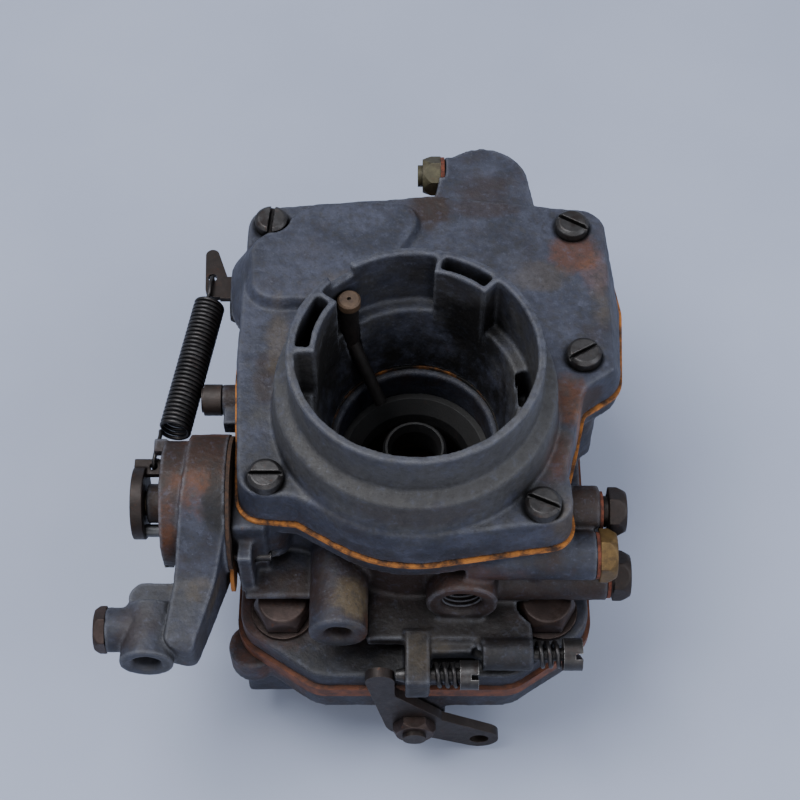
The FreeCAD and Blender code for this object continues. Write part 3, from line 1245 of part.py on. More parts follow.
def make_pump_cover():
    start = "pump_face + diaphragm_thick"
    disc = cylinder("pump_radius", "pump_cover_thick - 2", (start, "pump_y", "pump_z"), "x")
    dome = cone("pump_radius - 1.5", 6, 2, (f"{start} + pump_cover_thick - 2", "pump_y", "pump_z"), "x")
    solids = [disc, dome]
    for y in ("ear_front", "ear_back"):
        ear = block(f"lever_pivot_x - ({start})", 2.2, 6, (start, y, "lever_pivot_z - 3"))
        solids.append(fuse(ear, cylinder(3, 2.2, ("lever_pivot_x", y, "lever_pivot_z"), "y")))
    tools = ring_of_holes(1.6, "pump_face", 30) + ring_of_holes(2.9, f"{start} + 2.4", 20)
    tools.append(cylinder("pump_chamber", 2.6, (f"{start} - 1", "pump_y", "pump_z"), "x"))
    tools.append(cylinder("pump_rod + running_gap", "through", ("pump_face", "pump_y", "pump_z"), "x"))
    tools.append(cylinder("lever_pin + running_gap", 30,
                          ("lever_pivot_x", "lever_plane - 2", "lever_pivot_z"), "y"))
    return cut(fuse(*solids), *tools)


def make_pump_screws():
    screws = []
    seat = "pump_face + diaphragm_thick + 2.4"
    for dy, dz in PUMP_SCREWS:
        y, z = f"pump_y + {dy}", f"pump_z + {dz}"
        head = cylinder(2.7, 2, (seat, y, z), "x")
        shank = cylinder("small_rod", 9, (seat, y, z), "-x")
        slot = block(1, 7, 0.7, (f"{seat} + 1.1", f"{y} - 3.5", f"{z} - 0.35"))
        screws.append(cut(fuse(head, shank), slot))
    return group(screws)


def make_plunger():
    disc = cylinder("plunger_disc", "plunger_thick", ("pump_face - 0.4", "pump_y", "pump_z"), "x")
    rod = cylinder("pump_rod", "lever_pivot_x - pump_face - 0.9", ("pump_face", "pump_y", "pump_z"), "x")
    return fuse(disc, rod)


def lean(arm, letter):
    """The point of the pump lever at a distance below its pivot, at rest."""
    if letter == "x":
        return f"lever_pivot_x + {arm} * sin(lever_lean * 1 deg)"
    return f"lever_pivot_z - {arm} * cos(lever_lean * 1 deg)"


PUMP_LEVER_RING = [
    (lean("(link_arm + slot_high / 2)", "x"), lean("(link_arm + slot_high / 2)", "z"), 3.6, 1),
    ("lever_pivot_x", "lever_pivot_z", 3.8, 1),
]


def make_pump_lever():
    back = "lever_plane + pump_lever_thick"
    arm = front_plate("PumpLever", PUMP_LEVER_RING, "pump_lever_thick", back)
    bore = cylinder("lever_pin", "through", ("lever_pivot_x", "lever_plane - 8", "lever_pivot_z"), "y")
    slot = [
        cylinder("link_pin + 0.45", 10, (lean(f"(link_arm - 0.7 + {end} * 0.9)", "x"), "lever_plane - 4",
                                        lean(f"(link_arm - 0.7 + {end} * 0.9)", "z")), "y")
        for end in (-1, 0, 1)
    ]
    return cut(arm, bore, *slot)


FINGER_RING = [
    (lean("push_arm", "x"), lean("push_arm", "z"), 2, 1),
    ("lever_pivot_x", "lever_pivot_z", 3.2, 1),
]


def make_finger():
    finger = front_plate("PumpFinger", FINGER_RING, "pump_lever_thick + 1", "pump_y + 1.5")
    return cut(finger, cylinder("lever_pin", "through", ("lever_pivot_x", "pump_y - 8", "lever_pivot_z"), "y"))


def make_lever_pin():
    return cylinder("lever_pin", "ear_back + 3 - lever_plane + 0.4",
                    ("lever_pivot_x", "lever_plane - 0.4", "lever_pivot_z"), "y")


LINK_START = (
    "throttle_arm * sin(throttle_arm_turn * 1 deg)",
    "shaft_z + throttle_arm * cos(throttle_arm_turn * 1 deg)",
)
LINK_END = (lean("link_arm", "x"), lean("link_arm", "z"))


def make_pump_link():
    ring = [(LINK_START[0], LINK_START[1], 2.3, 1), (LINK_END[0], LINK_END[1], 2.3, 1)]
    bar = front_plate("PumpLink", ring, "link_thick", "link_plane + link_thick")
    near = cylinder("link_pin", 2.6, (LINK_START[0], "link_plane + 0.2", LINK_START[1]), "-y")
    far = cylinder("link_pin", 4.4, (LINK_END[0], "link_plane + link_thick - 0.2", LINK_END[1]), "y")
    return fuse(bar, near, far)


node(make_diaphragm(), "pump_diaphragm")
node(make_pump_cover(), "pump_cover")
node(make_pump_screws(), "pump_screws")
node(make_plunger(), "pump_plunger")
node(make_pump_lever(), "pump_lever")
node(make_finger(), "pump_finger")
node(make_lever_pin(), "pump_lever_pin")
node(make_pump_link(), "pump_link")

# ---------------------------------------------------------------------------------------------
# Check every object, then write one file for each sub-part
# ---------------------------------------------------------------------------------------------

doc.recompute()
for thing in doc.Objects:
    faults = [word for word in thing.State if word in ("Invalid", "Error")]
    assert not faults, f"{thing.Label} failed: {thing.getStatusString()}"
os.makedirs("parts", exist_ok=True)
for thing in NODES:
    shape = thing.Shape
    assert not shape.isNull() and shape.isValid() and shape.Solids, f"{thing.Label} has no sound solid"
for thing in NODES:
    thing.Shape.exportStep(os.path.join("parts", thing.Label + ".step"))
print(len(NODES), "sub-parts written")
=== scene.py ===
import json
import math

import bpy
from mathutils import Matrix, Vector


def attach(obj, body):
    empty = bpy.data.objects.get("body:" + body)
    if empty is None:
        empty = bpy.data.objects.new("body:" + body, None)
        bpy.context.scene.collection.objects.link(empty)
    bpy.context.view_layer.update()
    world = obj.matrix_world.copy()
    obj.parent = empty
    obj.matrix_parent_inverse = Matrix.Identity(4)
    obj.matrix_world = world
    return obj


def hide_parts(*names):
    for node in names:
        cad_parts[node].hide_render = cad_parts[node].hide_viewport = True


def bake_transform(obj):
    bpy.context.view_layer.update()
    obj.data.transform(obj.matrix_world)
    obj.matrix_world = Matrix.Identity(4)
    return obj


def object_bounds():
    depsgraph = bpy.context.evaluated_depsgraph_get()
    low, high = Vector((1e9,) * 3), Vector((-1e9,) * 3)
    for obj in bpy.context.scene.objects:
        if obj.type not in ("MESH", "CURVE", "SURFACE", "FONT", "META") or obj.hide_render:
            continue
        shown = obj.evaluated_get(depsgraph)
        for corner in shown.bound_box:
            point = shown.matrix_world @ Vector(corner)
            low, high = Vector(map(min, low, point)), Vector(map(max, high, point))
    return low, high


# Looks for an old single-barrel carburettor: grey castings with rust, soot and an orange gasket edge.
# Places and lengths are millimetres in the row frame and are multiplied by MM, as Blender works in metres.
# Only the floor, the lights and the camera are given in metres.
# Origin: the middle of the bottom flange. X is right, Y is back and Z is up.

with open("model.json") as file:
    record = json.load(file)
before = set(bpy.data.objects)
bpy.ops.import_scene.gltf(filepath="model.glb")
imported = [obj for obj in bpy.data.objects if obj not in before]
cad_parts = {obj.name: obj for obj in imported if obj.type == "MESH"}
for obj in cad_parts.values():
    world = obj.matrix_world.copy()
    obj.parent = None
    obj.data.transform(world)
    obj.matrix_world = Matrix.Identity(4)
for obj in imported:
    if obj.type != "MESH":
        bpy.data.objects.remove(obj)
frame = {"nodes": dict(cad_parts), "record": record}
CAD_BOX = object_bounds()
MM = 0.001
NODES = frame["nodes"]
BODY_OF = {name: body for body, names in frame["record"]["behaviour"]["bodies"].items() for name in names}
SLOT_OF = {part["node"]: part["material_slot"] for part in frame["record"]["subparts"]}


# ---------------------------------------------------------------------------------------------
# Procedural materials
# ---------------------------------------------------------------------------------------------

# Colours, in linear light
SLATE = (0.020, 0.023, 0.037)
SLATE_PALE = (0.043, 0.048, 0.073)
WORN = (0.105, 0.112, 0.135)
SOOT = (0.022, 0.021, 0.023)
ASH = (0.044, 0.043, 0.042)
# near black: grime, and also painted shade in corners, creases and deep hollows
GRIME_AND_SHADE = (0.003, 0.0027, 0.0027)
UMBER = (0.022, 0.012, 0.009)
RUST = (0.075, 0.027, 0.011)
ORANGE = (0.44, 0.160, 0.026)
OCHRE = (0.082, 0.062, 0.036)
LIGHTER = 1.7  # how much paler the pale lumps of a colour are
MIX_COLOUR_IN = (0, 6, 7)  # a mix node's own sockets for colours: the mask, the colour below and the one above
MIX_COLOUR_OUT = 2


class Shader:
    """One node material. Masks are worked out from the place on the object, in the row frame."""

    def __init__(self, name):
        self.material = bpy.data.materials.new(name)
        self.material.use_nodes = True
        self.tree = self.material.node_tree
        self.surface = self.tree.nodes["Principled BSDF"]
        self.place = self.tree.nodes.new("ShaderNodeTexCoord").outputs["Object"]

    def add(self, kind, **settings):
        """A new node with its settings."""
        made = self.tree.nodes.new(kind)
        for name, setting in settings.items():
            setattr(made, name, setting)
        return made

    def feed(self, socket, source):
        """Links a socket to another node, or gives it a constant."""
        if isinstance(source, bpy.types.NodeSocket):
            self.tree.links.new(source, socket)
        elif isinstance(source, tuple) and len(source) == 3 and len(socket.default_value) == 4:
            socket.default_value = (*source, 1)
        else:
            socket.default_value = source

    def maths(self, kind, one, two=0.0, three=0.0):
        """One operation on masks or numbers."""
        made = self.add("ShaderNodeMath", operation=kind)
        for socket, source in zip(made.inputs, (one, two, three)):
            self.feed(socket, source)
        return made.outputs[0]

    def noise(self, size_mm, detail, rough, shift=0.0):
        """Cloudy values from 0 to 1 whose lumps are about size_mm across. shift picks another cloud."""
        moved = self.add("ShaderNodeMapping")
        self.feed(moved.inputs["Vector"], self.place)
        moved.inputs["Location"].default_value = (shift, shift * 0.7, shift * 0.3)
        made = self.add("ShaderNodeTexNoise")
        self.feed(made.inputs["Vector"], moved.outputs[0])
        self.feed(made.inputs["Scale"], 1 / (size_mm * MM))
        self.feed(made.inputs["Detail"], detail)
        self.feed(made.inputs["Roughness"], rough)
        return made.outputs["Fac"]

    def step(self, value, low, high):
        """Rises smoothly from 0 at low to 1 at high."""
        made = self.add("ShaderNodeMapRange", interpolation_type="SMOOTHSTEP")
        self.feed(made.inputs["Value"], value)
        self.feed(made.inputs["From Min"], low)
        self.feed(made.inputs["From Max"], high)
        return made.outputs["Result"]

    def both(self, one, two):
        """The product of two masks: where both hold."""
        return self.maths("MULTIPLY", one, two)

    def cover(self, base, mask, strength, colour):
        """Lays a colour over the base where the mask holds."""
        return self.mix(self.both(mask, strength), base, colour)

    def patch(self, centre_mm, radius_mm, fade=0.5, lumps_mm=5.0, shift=0.0, ragged=1.1):
        """A ragged spot: 1 near the centre, 0 beyond the radius."""
        offset = self.add("ShaderNodeVectorMath", operation="SUBTRACT")
        self.feed(offset.inputs[0], self.place)
        offset.inputs[1].default_value = [c * MM for c in centre_mm]
        scaled = self.add("ShaderNodeVectorMath", operation="MULTIPLY")
        self.feed(scaled.inputs[0], offset.outputs[0])
        scaled.inputs[1].default_value = [1 / (r * MM) for r in radius_mm]
        far = self.add("ShaderNodeVectorMath", operation="LENGTH")
        self.feed(far.inputs[0], scaled.outputs[0])
        uneven = self.maths("MULTIPLY_ADD", self.noise(lumps_mm, 6, 0.65, shift=shift), ragged, -ragged / 2)
        total = self.maths("ADD", far.outputs["Value"], uneven)
        return self.step(total, 1.0, 1.0 - fade)

    def mix(self, mask, below, above):
        """The colour below where the mask is 0, the colour above where it is 1."""
        made = self.add("ShaderNodeMix", data_type="RGBA")
        for socket, source in zip((made.inputs[i] for i in MIX_COLOUR_IN), (mask, below, above)):
            self.feed(socket, source)
        return made.outputs[MIX_COLOUR_OUT]

    def crease_grime_and_shade(self, reach_mm):
        """Grime and painted shade: 1 deep in corners, where ambient occlusion finds shade, 0 in the open."""
        made = self.add("ShaderNodeAmbientOcclusion", samples=8)
        made.inputs["Distance"].default_value = reach_mm * MM
        return self.step(made.outputs["AO"], 0.85, 0.30)

    def edges(self, width_mm, low=0.985, high=0.86):
        """1 on sharp outside edges, where handling wears the surface, and where the screws, the spring and the
        venturis get painted highlights.
        """
        soft = self.add("ShaderNodeBevel", samples=6)
        soft.inputs["Radius"].default_value = width_mm * MM
        plain = self.add("ShaderNodeNewGeometry")
        product = self.add("ShaderNodeVectorMath", operation="DOT_PRODUCT")
        self.feed(product.inputs[0], soft.outputs[0])
        self.feed(product.inputs[1], plain.outputs["Normal"])
        return self.step(product.outputs["Value"], low, high)

    def finish(self, colour, rough, metal, height=None, depth_mm=0.1, soften_mm=0.0):
        """Feeds the surface, with fine relief from height and edges softened by soften_mm."""
        self.feed(self.surface.inputs["Base Color"], colour)
        self.feed(self.surface.inputs["Roughness"], rough)
        self.feed(self.surface.inputs["Metallic"], metal)
        normal = None
        if soften_mm:
            soft = self.add("ShaderNodeBevel", samples=4)
            soft.inputs["Radius"].default_value = soften_mm * MM
            normal = soft.outputs[0]
        if height is not None:
            bump = self.add("ShaderNodeBump")
            bump.inputs["Distance"].default_value = depth_mm * MM
            self.feed(bump.inputs["Height"], height)
            if normal is not None:
                self.feed(bump.inputs["Normal"], normal)
            normal = bump.outputs[0]
        if normal is not None:
            self.feed(self.surface.inputs["Normal"], normal)
        return self.material


def lighter(colour):
    return tuple(part * LIGHTER for part in colour)


def casting(name, patches, dirt, tone):
    """Weathered casting: slate grey, with stains, rust, patches of painted shade, grime and painted shade in
    the corners, and bare edges.
    dirt is how strongly brown and rust show, and tone darkens the grey."""
    s = Shader(name)
    speck = s.noise(0.9, 4, 0.7, shift=3)
    mottle = s.noise(2.2, 7, 0.75, shift=47)
    dark, pale = (tuple(part * tone for part in colour) for colour in (SLATE, SLATE_PALE))
    # grey clouds, then a brown film and rust over large areas
    base = s.mix(s.step(s.noise(9, 6, 0.62), 0.35, 0.68), dark, pale)
    base = s.cover(base, s.step(s.noise(14, 6, 0.7, shift=11), 0.5, 0.72), dirt, UMBER)
    base = s.cover(base, s.step(s.noise(6, 7, 0.72, shift=23), 0.62, 0.76), dirt * 0.8, RUST)
    # this casting's own stains, with some patches of painted shade among them
    soot_and_shade = []
    for number, (centre, radius, colour, strength) in enumerate(patches):
        amount = s.both(s.patch(centre, radius, shift=31 + 7 * number), strength)
        base = s.mix(amount, base, colour)
        if colour == GRIME_AND_SHADE:
            soot_and_shade.append(amount)
    # bright and dark specks, then dark and pale mottling
    base = s.cover(base, s.step(speck, 0.60, 0.72), 0.35, WORN)
    base = s.cover(base, s.step(speck, 0.42, 0.30), 0.45, GRIME_AND_SHADE)
    base = s.cover(base, s.step(mottle, 0.48, 0.64), 0.55, SOOT)
    base = s.cover(base, s.step(mottle, 0.46, 0.34), 0.30, lighter(SLATE_PALE))
    for amount in soot_and_shade:  # soot and painted shade also lie on top of the mottling
        base = s.cover(base, amount, 0.7, GRIME_AND_SHADE)
    # rubbed edges, then grime and painted shade in the corners
    bare = s.both(s.edges(1.5, 0.994, 0.945), s.step(s.noise(3, 5, 0.7, shift=41), 0.30, 0.55))
    base = s.cover(base, bare, 0.85, WORN)
    base = s.cover(base, s.crease_grime_and_shade(5), 0.85, GRIME_AND_SHADE)
    height = s.maths("ADD", s.both(speck, 0.6), s.noise(2.6, 5, 0.6, shift=53))
    rough = s.maths("MULTIPLY_ADD", s.noise(4, 5, 0.6, shift=61), 0.3, 0.42)
    s.surface.inputs["Specular IOR Level"].default_value = 0.35
    return s.finish(base, rough, 0.1, height, 0.22)


def steel(name, colour, rust, rough, worn, metal=0.8, wear=0.6):
    """Old steel or brass: a dull skin, a brown film and bright rubbed edges in the colour worn, which on the
    screws, the spring and the venturis are also painted highlights. Grime and painted shade fill the creases.
    """
    s = Shader(name)
    base = s.mix(s.step(s.noise(3, 6, 0.65), 0.35, 0.7), colour, lighter(colour))
    base = s.cover(base, s.step(s.noise(4, 7, 0.7, shift=5), 0.48, 0.66), rust, UMBER)
    base = s.cover(base, s.step(s.noise(2, 7, 0.72, shift=9), 0.58, 0.72), rust, RUST)
    # rubbed edges in the colour worn; on the screws, the spring and the venturis they are also painted
    # highlights
    bare = s.both(s.edges(0.3), s.step(s.noise(1.6, 5, 0.7, shift=13), 0.34, 0.6))
    base = s.cover(base, bare, wear, worn)
    # grime and painted shade in the creases, such as the black screw slots
    base = s.cover(base, s.crease_grime_and_shade(1.5), 0.75, GRIME_AND_SHADE)
    uneven = s.maths("MULTIPLY_ADD", s.noise(1.5, 5, 0.6, shift=19), 0.3, rough - 0.12)
    return s.finish(base, uneven, metal, s.noise(0.5, 5, 0.7, shift=17), 0.06, soften_mm=0.22)


def soft_sheet(name, low, high, lumps_mm=1.2, rough=0.85, patches=()):
    """Fibre, gasket, phenolic or plastic, with mottled colour, spots, a fine grain, and grime with painted
    shade in the creases.
    """
    s = Shader(name)
    base = s.mix(s.step(s.noise(lumps_mm, 6, 0.7), 0.35, 0.65), low, high)
    for centre, radius, colour, strength in patches:
        spot = s.patch(centre, radius, fade=0.35, lumps_mm=4.0, ragged=0.9)
        base = s.cover(base, spot, strength, colour)
    # grime and painted shade in the creases
    base = s.cover(base, s.crease_grime_and_shade(2), 0.6, GRIME_AND_SHADE)
    return s.finish(base, rough, 0.0, s.noise(0.4, 4, 0.7, shift=3), 0.08)


# Stains, with some patches of painted shade among them, laid over one another in this order: (centre_mm,
# radius_mm along x, y and z, colour, strength).
COVER_STAINS = (
    ((4, 62, 86), (7, 9, 8), UMBER, 0.9),
    ((5, 66, 86), (4, 4, 6), UMBER, 0.7),
    ((41, 47, 86), (9, 8, 6), RUST, 0.70),
    ((46, 41, 85), (5, 8, 6), ORANGE, 0.07),
    ((37, 3, 82), (8, 9, 10), RUST, 0.9),
    ((42, 6, 78), (9, 7, 6), UMBER, 0.9),
    ((40, -1, 79), (5, 5, 8), ORANGE, 0.2),
    ((32, -13, 84), (7, 10, 10), RUST, 0.5),
    ((32, 40, 86), (10, 6, 4), OCHRE, 0.3),
    ((19, 70, 78), (13, 10, 9), UMBER, 0.65),
    ((18, 62, 86), (12, 5, 4), UMBER, 0.6),
    ((-36, 8, 82), (5, 12, 6), UMBER, 0.7),
    ((-34, 20, 88), (4, 14, 8), OCHRE, 0.45),
    ((28, -19, 78), (9, 7, 6), OCHRE, 0.6),
    ((34, -12, 82), (6, 8, 8), RUST, 0.5),
    ((-28, 44, 90), (10, 14, 6), SLATE_PALE, 0.4),
    ((0, -30, 76), (30, 8, 4), GRIME_AND_SHADE, 0.35),
    ((47, 33, 80), (4, 16, 8), OCHRE, 0.4),
    ((0, -10, 97), (60, 44, 22), ASH, 0.85),
    ((0, -34, 92), (24, 8, 5), UMBER, 0.35),
    ((0, 4, 103), (29, 30, 13), SOOT, 0.85),
    ((-12, 32, 88), (20, 10, 4), OCHRE, 0.35),
    ((20, 44, 88), (18, 14, 4), SOOT, 0.6),
    ((38, -30, 82), (10, 8, 10), OCHRE, 0.5),
    # painted shade: near black deep inside the horn, then dark patches on the ledge inside it
    ((0, 0, 76), (30, 30, 19), GRIME_AND_SHADE, 0.97),
    ((14, 18, 92), (12, 10, 14), GRIME_AND_SHADE, 0.8),
    ((-22, 10, 92), (9, 14, 16), GRIME_AND_SHADE, 0.8),
)
BODY_STAINS = (
    ((0, -34, 50), (54, 18, 22), UMBER, 0.88),
    # painted shadow: a dark band across the lower front, under the body's overhang
    ((0, -44, 44), (54, 18, 9), GRIME_AND_SHADE, 0.6),
    ((14, -36, 64), (14, 8, 7), RUST, 0.35),
    ((-16, -38, 57), (6, 8, 8), OCHRE, 0.8),
    ((-12, -42, 52), (4, 5, 6), RUST, 0.6),
    ((2, -48, 46), (8, 9, 5), OCHRE, 0.5),
    ((-40, -30, 40), (20, 16, 10), RUST, 0.5),
    ((42, -17, 65), (18, 12, 12), UMBER, 1.0),
    ((45, -27, 51), (12, 12, 10), UMBER, 0.95),
    ((-42, -14, 60), (8, 20, 12), UMBER, 0.9),
    ((-46, 14, 68), (8, 6, 6), UMBER, 0.9),
    ((40, 12, 60), (8, 20, 14), UMBER, 0.7),
)
BRACKET_STAINS = (
    ((-50, -10, 76), (18, 16, 12), RUST, 0.95),
    ((-50, -6, 80), (14, 12, 8), UMBER, 0.85),
    ((-47, -20, 76), (5, 10, 8), GRIME_AND_SHADE, 0.7),
    ((-60, -12, 68), (7, 19, 19), UMBER, 0.95),
    ((-60, -22, 66), (6, 10, 12), RUST, 0.9),
    ((-60, -16, 72), (4, 6, 7), ORANGE, 0.12),
    ((-60, -40, 60), (16, 26, 10), ASH, 0.45),
    ((-63, -14, 62), (6, 8, 8), UMBER, 0.9),
    ((-52, -37, 62), (8, 9, 5), OCHRE, 0.45),
    ((-66, -48, 62), (7, 8, 8), UMBER, 0.45),
)
THROTTLE_STAINS = (
    ((-30, -34, 28), (26, 16, 8), RUST, 0.75),
    ((30, -30, 26), (20, 18, 10), UMBER, 0.85),
    ((0, -34, 24), (40, 20, 14), UMBER, 0.85),
)

# By the name of a node, or of a material slot for every node that has no paint of its own
PAINTS = {
    "bowl_cover": casting("cover_casting", COVER_STAINS, 0.40, 1.0),
    "main_body": casting("body_casting", BODY_STAINS, 0.9, 0.7),
    "starter_bracket": casting("bracket_casting", BRACKET_STAINS, 0.5, 0.85),
    "cast_lower": casting("lower_casting", THROTTLE_STAINS, 0.95, 0.6),
    # the gasket's near-black patch inside the bore is painted shade
    "gasket_orange": soft_sheet("rusty_gasket", (0.030, 0.013, 0.007), ORANGE, 4.0,
                                patches=[((0, 0, 72), (30, 30, 12), GRIME_AND_SHADE, 1.0)]),
    "starter_gasket": soft_sheet("charred_gasket", (0.016, 0.009, 0.006), (0.055, 0.025, 0.012),
                                 patches=[((-45, -27, 51), (4, 7, 9), ORANGE, 0.6)]),
    "insulator": soft_sheet("phenolic", (0.045, 0.014, 0.007), (0.12, 0.035, 0.012), 3.0, 0.7),
    # the venturis: near-black painted shade for the dark bore, their pale edges faint painted rim highlights
    "main_venturi": steel("venturi_painted_shade", (0.0025, 0.0025, 0.003), 0.1, 0.6, (0.08, 0.085, 0.10), metal=0.0),
    "boost_venturi": steel("boost_venturi_painted_shade", (0.003, 0.003, 0.0035), 0.1, 0.6, (0.08, 0.085, 0.10), metal=0.0),
    # the screws: rubbed edges that also stand as painted highlights, and slots painted black with shade
    "screw_steel": steel("worn_screws_painted_glint", (0.036, 0.035, 0.036), 0.5, 0.40, (0.42, 0.41, 0.41), wear=0.9),
    "bolt_rust": steel("rusty_bolts", (0.030, 0.020, 0.018), 0.8, 0.45, (0.20, 0.15, 0.13), metal=0.6),
    "dark_steel": steel("blackened_steel", (0.016, 0.012, 0.011), 0.6, 0.45, (0.11, 0.09, 0.08), metal=0.6),
    # the spring: the pale rubbed edges along the wire stand as painted highlights
    "spring_steel": steel("spring_wire", (0.028, 0.027, 0.028), 0.30, 0.32, (0.30, 0.29, 0.30), wear=0.7),
    "brass": steel("dull_brass", (0.090, 0.056, 0.020), 0.55, 0.42, (0.30, 0.21, 0.09), metal=0.6),
    "inlet_union": steel("union_plate", (0.050, 0.045, 0.026), 0.5, 0.5, (0.16, 0.15, 0.10), metal=0.5),
    # the pump jet tube: near black, painted shade down in the horn
    "pump_jet_tube": steel("pump_tube_painted_shade", (0.008, 0.007, 0.007), 0.3, 0.5, (0.06, 0.05, 0.04), metal=0.3),
    "pump_jet_cap": steel("dull_cap", (0.050, 0.031, 0.019), 0.5, 0.55, (0.12, 0.08, 0.05), metal=0.3),
    "side_plug": steel("stained_plug", (0.020, 0.014, 0.012), 0.7, 0.5, (0.11, 0.08, 0.07), metal=0.3),
    "cable_stud": steel("plated_stud", (0.075, 0.078, 0.085), 0.25, 0.4, (0.34, 0.34, 0.36), metal=0.6),
    "aluminium": steel("sooty_aluminium", (0.020, 0.021, 0.024), 0.3, 0.4, (0.26, 0.27, 0.30), metal=0.5),
    "fibre": soft_sheet("red_fibre", (0.05, 0.012, 0.006), (0.13, 0.03, 0.012)),
    "float_plastic": soft_sheet("float_plastic", (0.42, 0.38, 0.26), (0.60, 0.56, 0.42), 4.0, 0.45),
    "rubber": soft_sheet("diaphragm_rubber", (0.012, 0.012, 0.012), (0.03, 0.03, 0.03), 1.0, 0.7),
}


def paint(obj, node):
    """Gives an object the paint of its node, or else of its node's material slot."""
    chosen = PAINTS.get(node) or PAINTS[SLOT_OF[node]]
    obj.data.materials.clear()
    obj.data.materials.append(chosen)


# ---------------------------------------------------------------------------------------------
# Castings and worn metal: the CAD solids with rounded edges and an uneven skin
# ---------------------------------------------------------------------------------------------

SHARP = math.radians(40)  # CAD edges that turn by more than this stay crisp
MOST_FACES = 190000  # a rounded piece with more faces than this is thinned out


def cloud_texture(name, size_mm, depth):
    texture = bpy.data.textures.new(name, "CLOUDS")
    texture.noise_scale = size_mm * MM
    texture.noise_depth = depth
    return texture


LUMPS = cloud_texture("casting_lumps", 6, 3)
GRAIN = cloud_texture("casting_grain", 1.6, 2)


def settle(obj):
    """Works the modifiers into the mesh."""
    evaluated = obj.evaluated_get(bpy.context.evaluated_depsgraph_get())
    mesh = bpy.data.meshes.new_from_object(evaluated)
    obj.modifiers.clear()
    obj.data = mesh


def smooth_shade(mesh):
    mesh.polygons.foreach_set("use_smooth", [True] * len(mesh.polygons))


def make_worn(node, voxel_mm, rounds, lumps_mm, grain_mm):
    """Stands for a CAD node with the same solid, its edges rounded and its faces a little uneven."""
    piece = bpy.data.objects.new(node + "_worn", NODES[node].data.copy())
    bpy.context.scene.collection.objects.link(piece)
    remesh = piece.modifiers.new("Skin", "REMESH")
    remesh.mode = "VOXEL"
    remesh.voxel_size = voxel_mm * MM
    smooth = piece.modifiers.new("Round", "SMOOTH")
    smooth.factor = 0.5
    smooth.iterations = rounds
    for texture, depth in ((LUMPS, lumps_mm), (GRAIN, grain_mm)):
        push = piece.modifiers.new(texture.name, "DISPLACE")
        push.texture = texture
        push.texture_coords = "LOCAL"
        push.strength = depth * MM
        push.mid_level = 0.5
    settle(piece)
    faces = 2 * len(piece.data.polygons)
    if faces > MOST_FACES:
        fewer = piece.modifiers.new("Fewer", "DECIMATE")
        fewer.ratio = MOST_FACES / faces
        settle(piece)
    smooth_shade(piece.data)
    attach(piece, BODY_OF[node])
    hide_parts(node)
    paint(piece, node)


# Size of a voxel in mm, rounds of smoothing, height of the lumps in mm and height of the grain in mm
CASTINGS = {
    "bowl_cover": (0.45, 6, 0.45, 0.14),
    "main_body": (0.55, 4, 0.45, 0.14),
    "throttle_body": (0.65, 4, 0.40, 0.12),
    "starter_bracket": (0.32, 6, 0.32, 0.12),
}
WORN_STEEL = {
    "cover_screws": (0.20, 2, 0.05, 0.03),
    "upper_plug": (0.20, 3, 0.06, 0.04),
    "lower_plug": (0.20, 3, 0.06, 0.04),
    "jet_carrier": (0.20, 2, 0.04, 0.02),
    "flange_bolts": (0.30, 2, 0.05, 0.03),
    "cable_pinch_screw": (0.20, 2, 0.05, 0.03),
    "starter_lever": (0.20, 2, 0.04, 0.03),
}

ROUNDED = {**CASTINGS, **WORN_STEEL}
for node, recipe in ROUNDED.items():
    make_worn(node, *recipe)
for node, obj in NODES.items():
    if node not in ROUNDED:
        paint(obj, node)
        smooth_shade(obj.data)
        obj.data.set_sharp_from_angle(angle=SHARP)


# ---------------------------------------------------------------------------------------------
# Wire and thread: the return spring with its hooks, and the screwed bore on the front
# ---------------------------------------------------------------------------------------------

TAB_HOLE = Vector((-64.5, -6.3, 67.8))  # in the starter lever's tab
BLADE_HOLE = Vector((-53.0, 50.2, 70.0))  # in the anchor blade
SPRING_FRONT = Vector((-59.9, 3.2, 69.5))  # the coil's two ends, on its axis
SPRING_BACK = Vector((-53.4, 41.6, 70.0))
FRONT_ROOT = SPRING_FRONT + Vector((-3.2, -0.9, 0.4))  # where each hook leaves the coil
BACK_ROOT = SPRING_BACK + Vector((0, 1.2, 1.0))
SPRING_RADIUS = 3.7
SPRING_TURNS = 32
WIRE = 0.53  # the wire's radius
# A hook's bends, as distance from the eye's middle back to the coil, and height above it
HOOK_SHAPE = (
    (5.0, 2.0), (1.6, 1.9), (0.5, 1.6), (0.0, 0.7), (0.0, -0.7),
    (0.5, -1.7), (1.5, -2.0), (2.5, -1.8), (3.1, -1.2),
)
PORT_MOUTH = Vector((11.5, -36.2, 55))  # the screwed bore, from the outside in
PORT_END = Vector((11.5, -28, 55))
THREAD_RADIUS = 4.95
THREAD_PITCH = 1.25
THREAD_RIDGE = 0.32


def helix(start, end, radius, turns, per_turn=14, first=0.0):
    """Points of a coil about the line from start to end."""
    along = (end - start).normalized()
    side = along.cross(Vector((0, 0, 1))).normalized()
    up = side.cross(along)
    count = int(turns * per_turn)
    points = []
    for i in range(count + 1):
        angle = first + 2 * math.pi * i / per_turn
        centre = start.lerp(end, i / count)
        points.append(centre + side * radius * math.cos(angle) + up * radius * math.sin(angle))
    return points


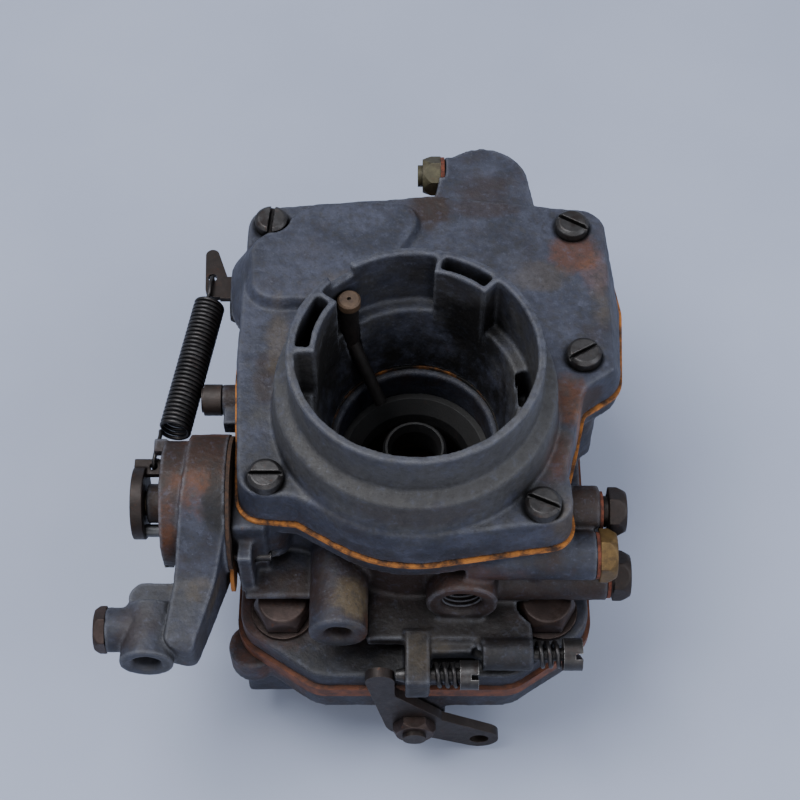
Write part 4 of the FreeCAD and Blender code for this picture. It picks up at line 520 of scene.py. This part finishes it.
def wire(name, points_mm, radius_mm, sides=3):
    """A round wire through points, turned into a mesh."""
    curve = bpy.data.curves.new(name, "CURVE")
    curve.dimensions = "3D"
    curve.bevel_depth = radius_mm * MM
    curve.bevel_resolution = sides
    curve.use_fill_caps = True
    spline = curve.splines.new("NURBS")
    spline.points.add(len(points_mm) - 1)
    for point, place in zip(spline.points, points_mm):
        point.co = (*(place * MM), 1)
    spline.order_u = 4
    spline.use_endpoint_u = True
    spline.resolution_u = 3
    source = bpy.data.objects.new(name, curve)
    bpy.context.scene.collection.objects.link(source)
    mesh = bpy.data.meshes.new_from_object(source.evaluated_get(bpy.context.evaluated_depsgraph_get()))
    bpy.data.objects.remove(source)
    obj = bpy.data.objects.new(name, mesh)
    bpy.context.scene.collection.objects.link(obj)
    smooth_shade(mesh)
    return obj


def hook(root, eye):
    """Points from a coil's end, over the plate it pulls on, down through the eye and back below."""
    away = (root - eye).normalized()
    up = Vector((0, 0, 1))
    return [root] + [eye + away * out + up * rise for out, rise in HOOK_SHAPE]


def make_return_spring():
    """A close-wound coil with a hook through the lever's tab and one through the anchor blade."""
    coil = helix(SPRING_FRONT, SPRING_BACK, SPRING_RADIUS, SPRING_TURNS, first=math.pi)
    points = hook(FRONT_ROOT, TAB_HOLE)[::-1] + coil + hook(BACK_ROOT, BLADE_HOLE)
    spring = wire("return_spring_wire", points, WIRE)
    spring.data.materials.append(PAINTS["spring_steel"])
    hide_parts("return_spring")
    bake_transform(spring)


def make_port_thread(name, body, node):
    """The ridge of the screw thread in the open bore on the front."""
    turns = (PORT_END - PORT_MOUTH).length / THREAD_PITCH
    ridge = wire(name, helix(PORT_MOUTH, PORT_END, THREAD_RADIUS, turns, 24), THREAD_RIDGE, sides=1)
    ridge.data.materials.append(PAINTS[node])
    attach(ridge, body)


make_return_spring()
make_port_thread("right_port_thread", "carburetor", "main_body")


# ---------------------------------------------------------------------------------------------
# Floor, light and camera
# ---------------------------------------------------------------------------------------------

FLOOR_HALF = 3.0  # metres from the middle to each side
FLOOR_DARK = (0.32, 0.36, 0.475)
FLOOR_PALE = (0.34, 0.38, 0.495)
AIM = Vector((0, 0, 0.06))  # the lights point at the middle of the object
SKY = (0.86, 0.90, 1.0)
SKY_STRENGTH = 0.55
CAMERA_PLACE = (-0.00366, -0.22595, 0.44118)
CAMERA_DOWN = 57.3  # degrees below level
CAMERA_LENS = 78.75  # focal length and sensor width, both in mm
CAMERA_SENSOR = 36
# Name, place in metres, width in metres, watts, colour
LIGHTS = (
    ("key", (-0.30, 0.05, 0.85), 0.6, 8.0, (1, 1, 1)),
    ("front", (0.05, -0.75, 0.45), 0.7, 2.6, (1.0, 0.97, 0.95)),
    ("fill", (0.60, -0.15, 0.50), 0.6, 3.0, (0.92, 0.95, 1.0)),
)


def make_floor():
    """A pale square under the object's lowest point."""
    low, high = Vector(CAD_BOX[0]), Vector(CAD_BOX[1])
    centre = (low + high) / 2
    corners = [
        (centre.x + x * FLOOR_HALF, centre.y + y * FLOOR_HALF, low.z)
        for x, y in ((-1, -1), (1, -1), (1, 1), (-1, 1))
    ]
    mesh = bpy.data.meshes.new("floor")
    mesh.from_pydata(corners, [], [(0, 1, 2, 3)])
    floor = bpy.data.objects.new("floor", mesh)
    bpy.context.scene.collection.objects.link(floor)
    s = Shader("floor_paint")
    tint = s.mix(s.step(s.noise(60, 3, 0.5), 0.3, 0.7), FLOOR_DARK, FLOOR_PALE)
    floor.data.materials.append(s.finish(tint, 0.9, 0.0))


def make_light(name, place, size, power, colour):
    """A soft round light turned towards the object."""
    light = bpy.data.lights.new(name, "AREA")
    light.shape = "DISK"
    light.size = size
    light.energy = power
    light.color = colour
    obj = bpy.data.objects.new(name, light)
    obj.location = place
    obj.rotation_euler = (AIM - Vector(place)).to_track_quat("-Z", "Y").to_euler()
    bpy.context.scene.collection.objects.link(obj)


def make_world():
    """Even light from all round."""
    world = bpy.data.worlds.new("studio")
    world.use_nodes = True
    sky = world.node_tree.nodes["Background"]
    sky.inputs["Color"].default_value = (*SKY, 1)
    sky.inputs["Strength"].default_value = SKY_STRENGTH
    bpy.context.scene.world = world


def make_camera():
    """Stands in front of the object, above it, and looks down at it."""
    lens = bpy.data.cameras.new("camera")
    lens.sensor_width = CAMERA_SENSOR
    lens.lens = CAMERA_LENS
    camera = bpy.data.objects.new("camera", lens)
    camera.location = CAMERA_PLACE
    camera.rotation_euler = (math.radians(90 - CAMERA_DOWN), 0, 0)
    bpy.context.scene.collection.objects.link(camera)
    bpy.context.scene.camera = camera


make_floor()
for light in LIGHTS:
    make_light(*light)
make_world()
make_camera()
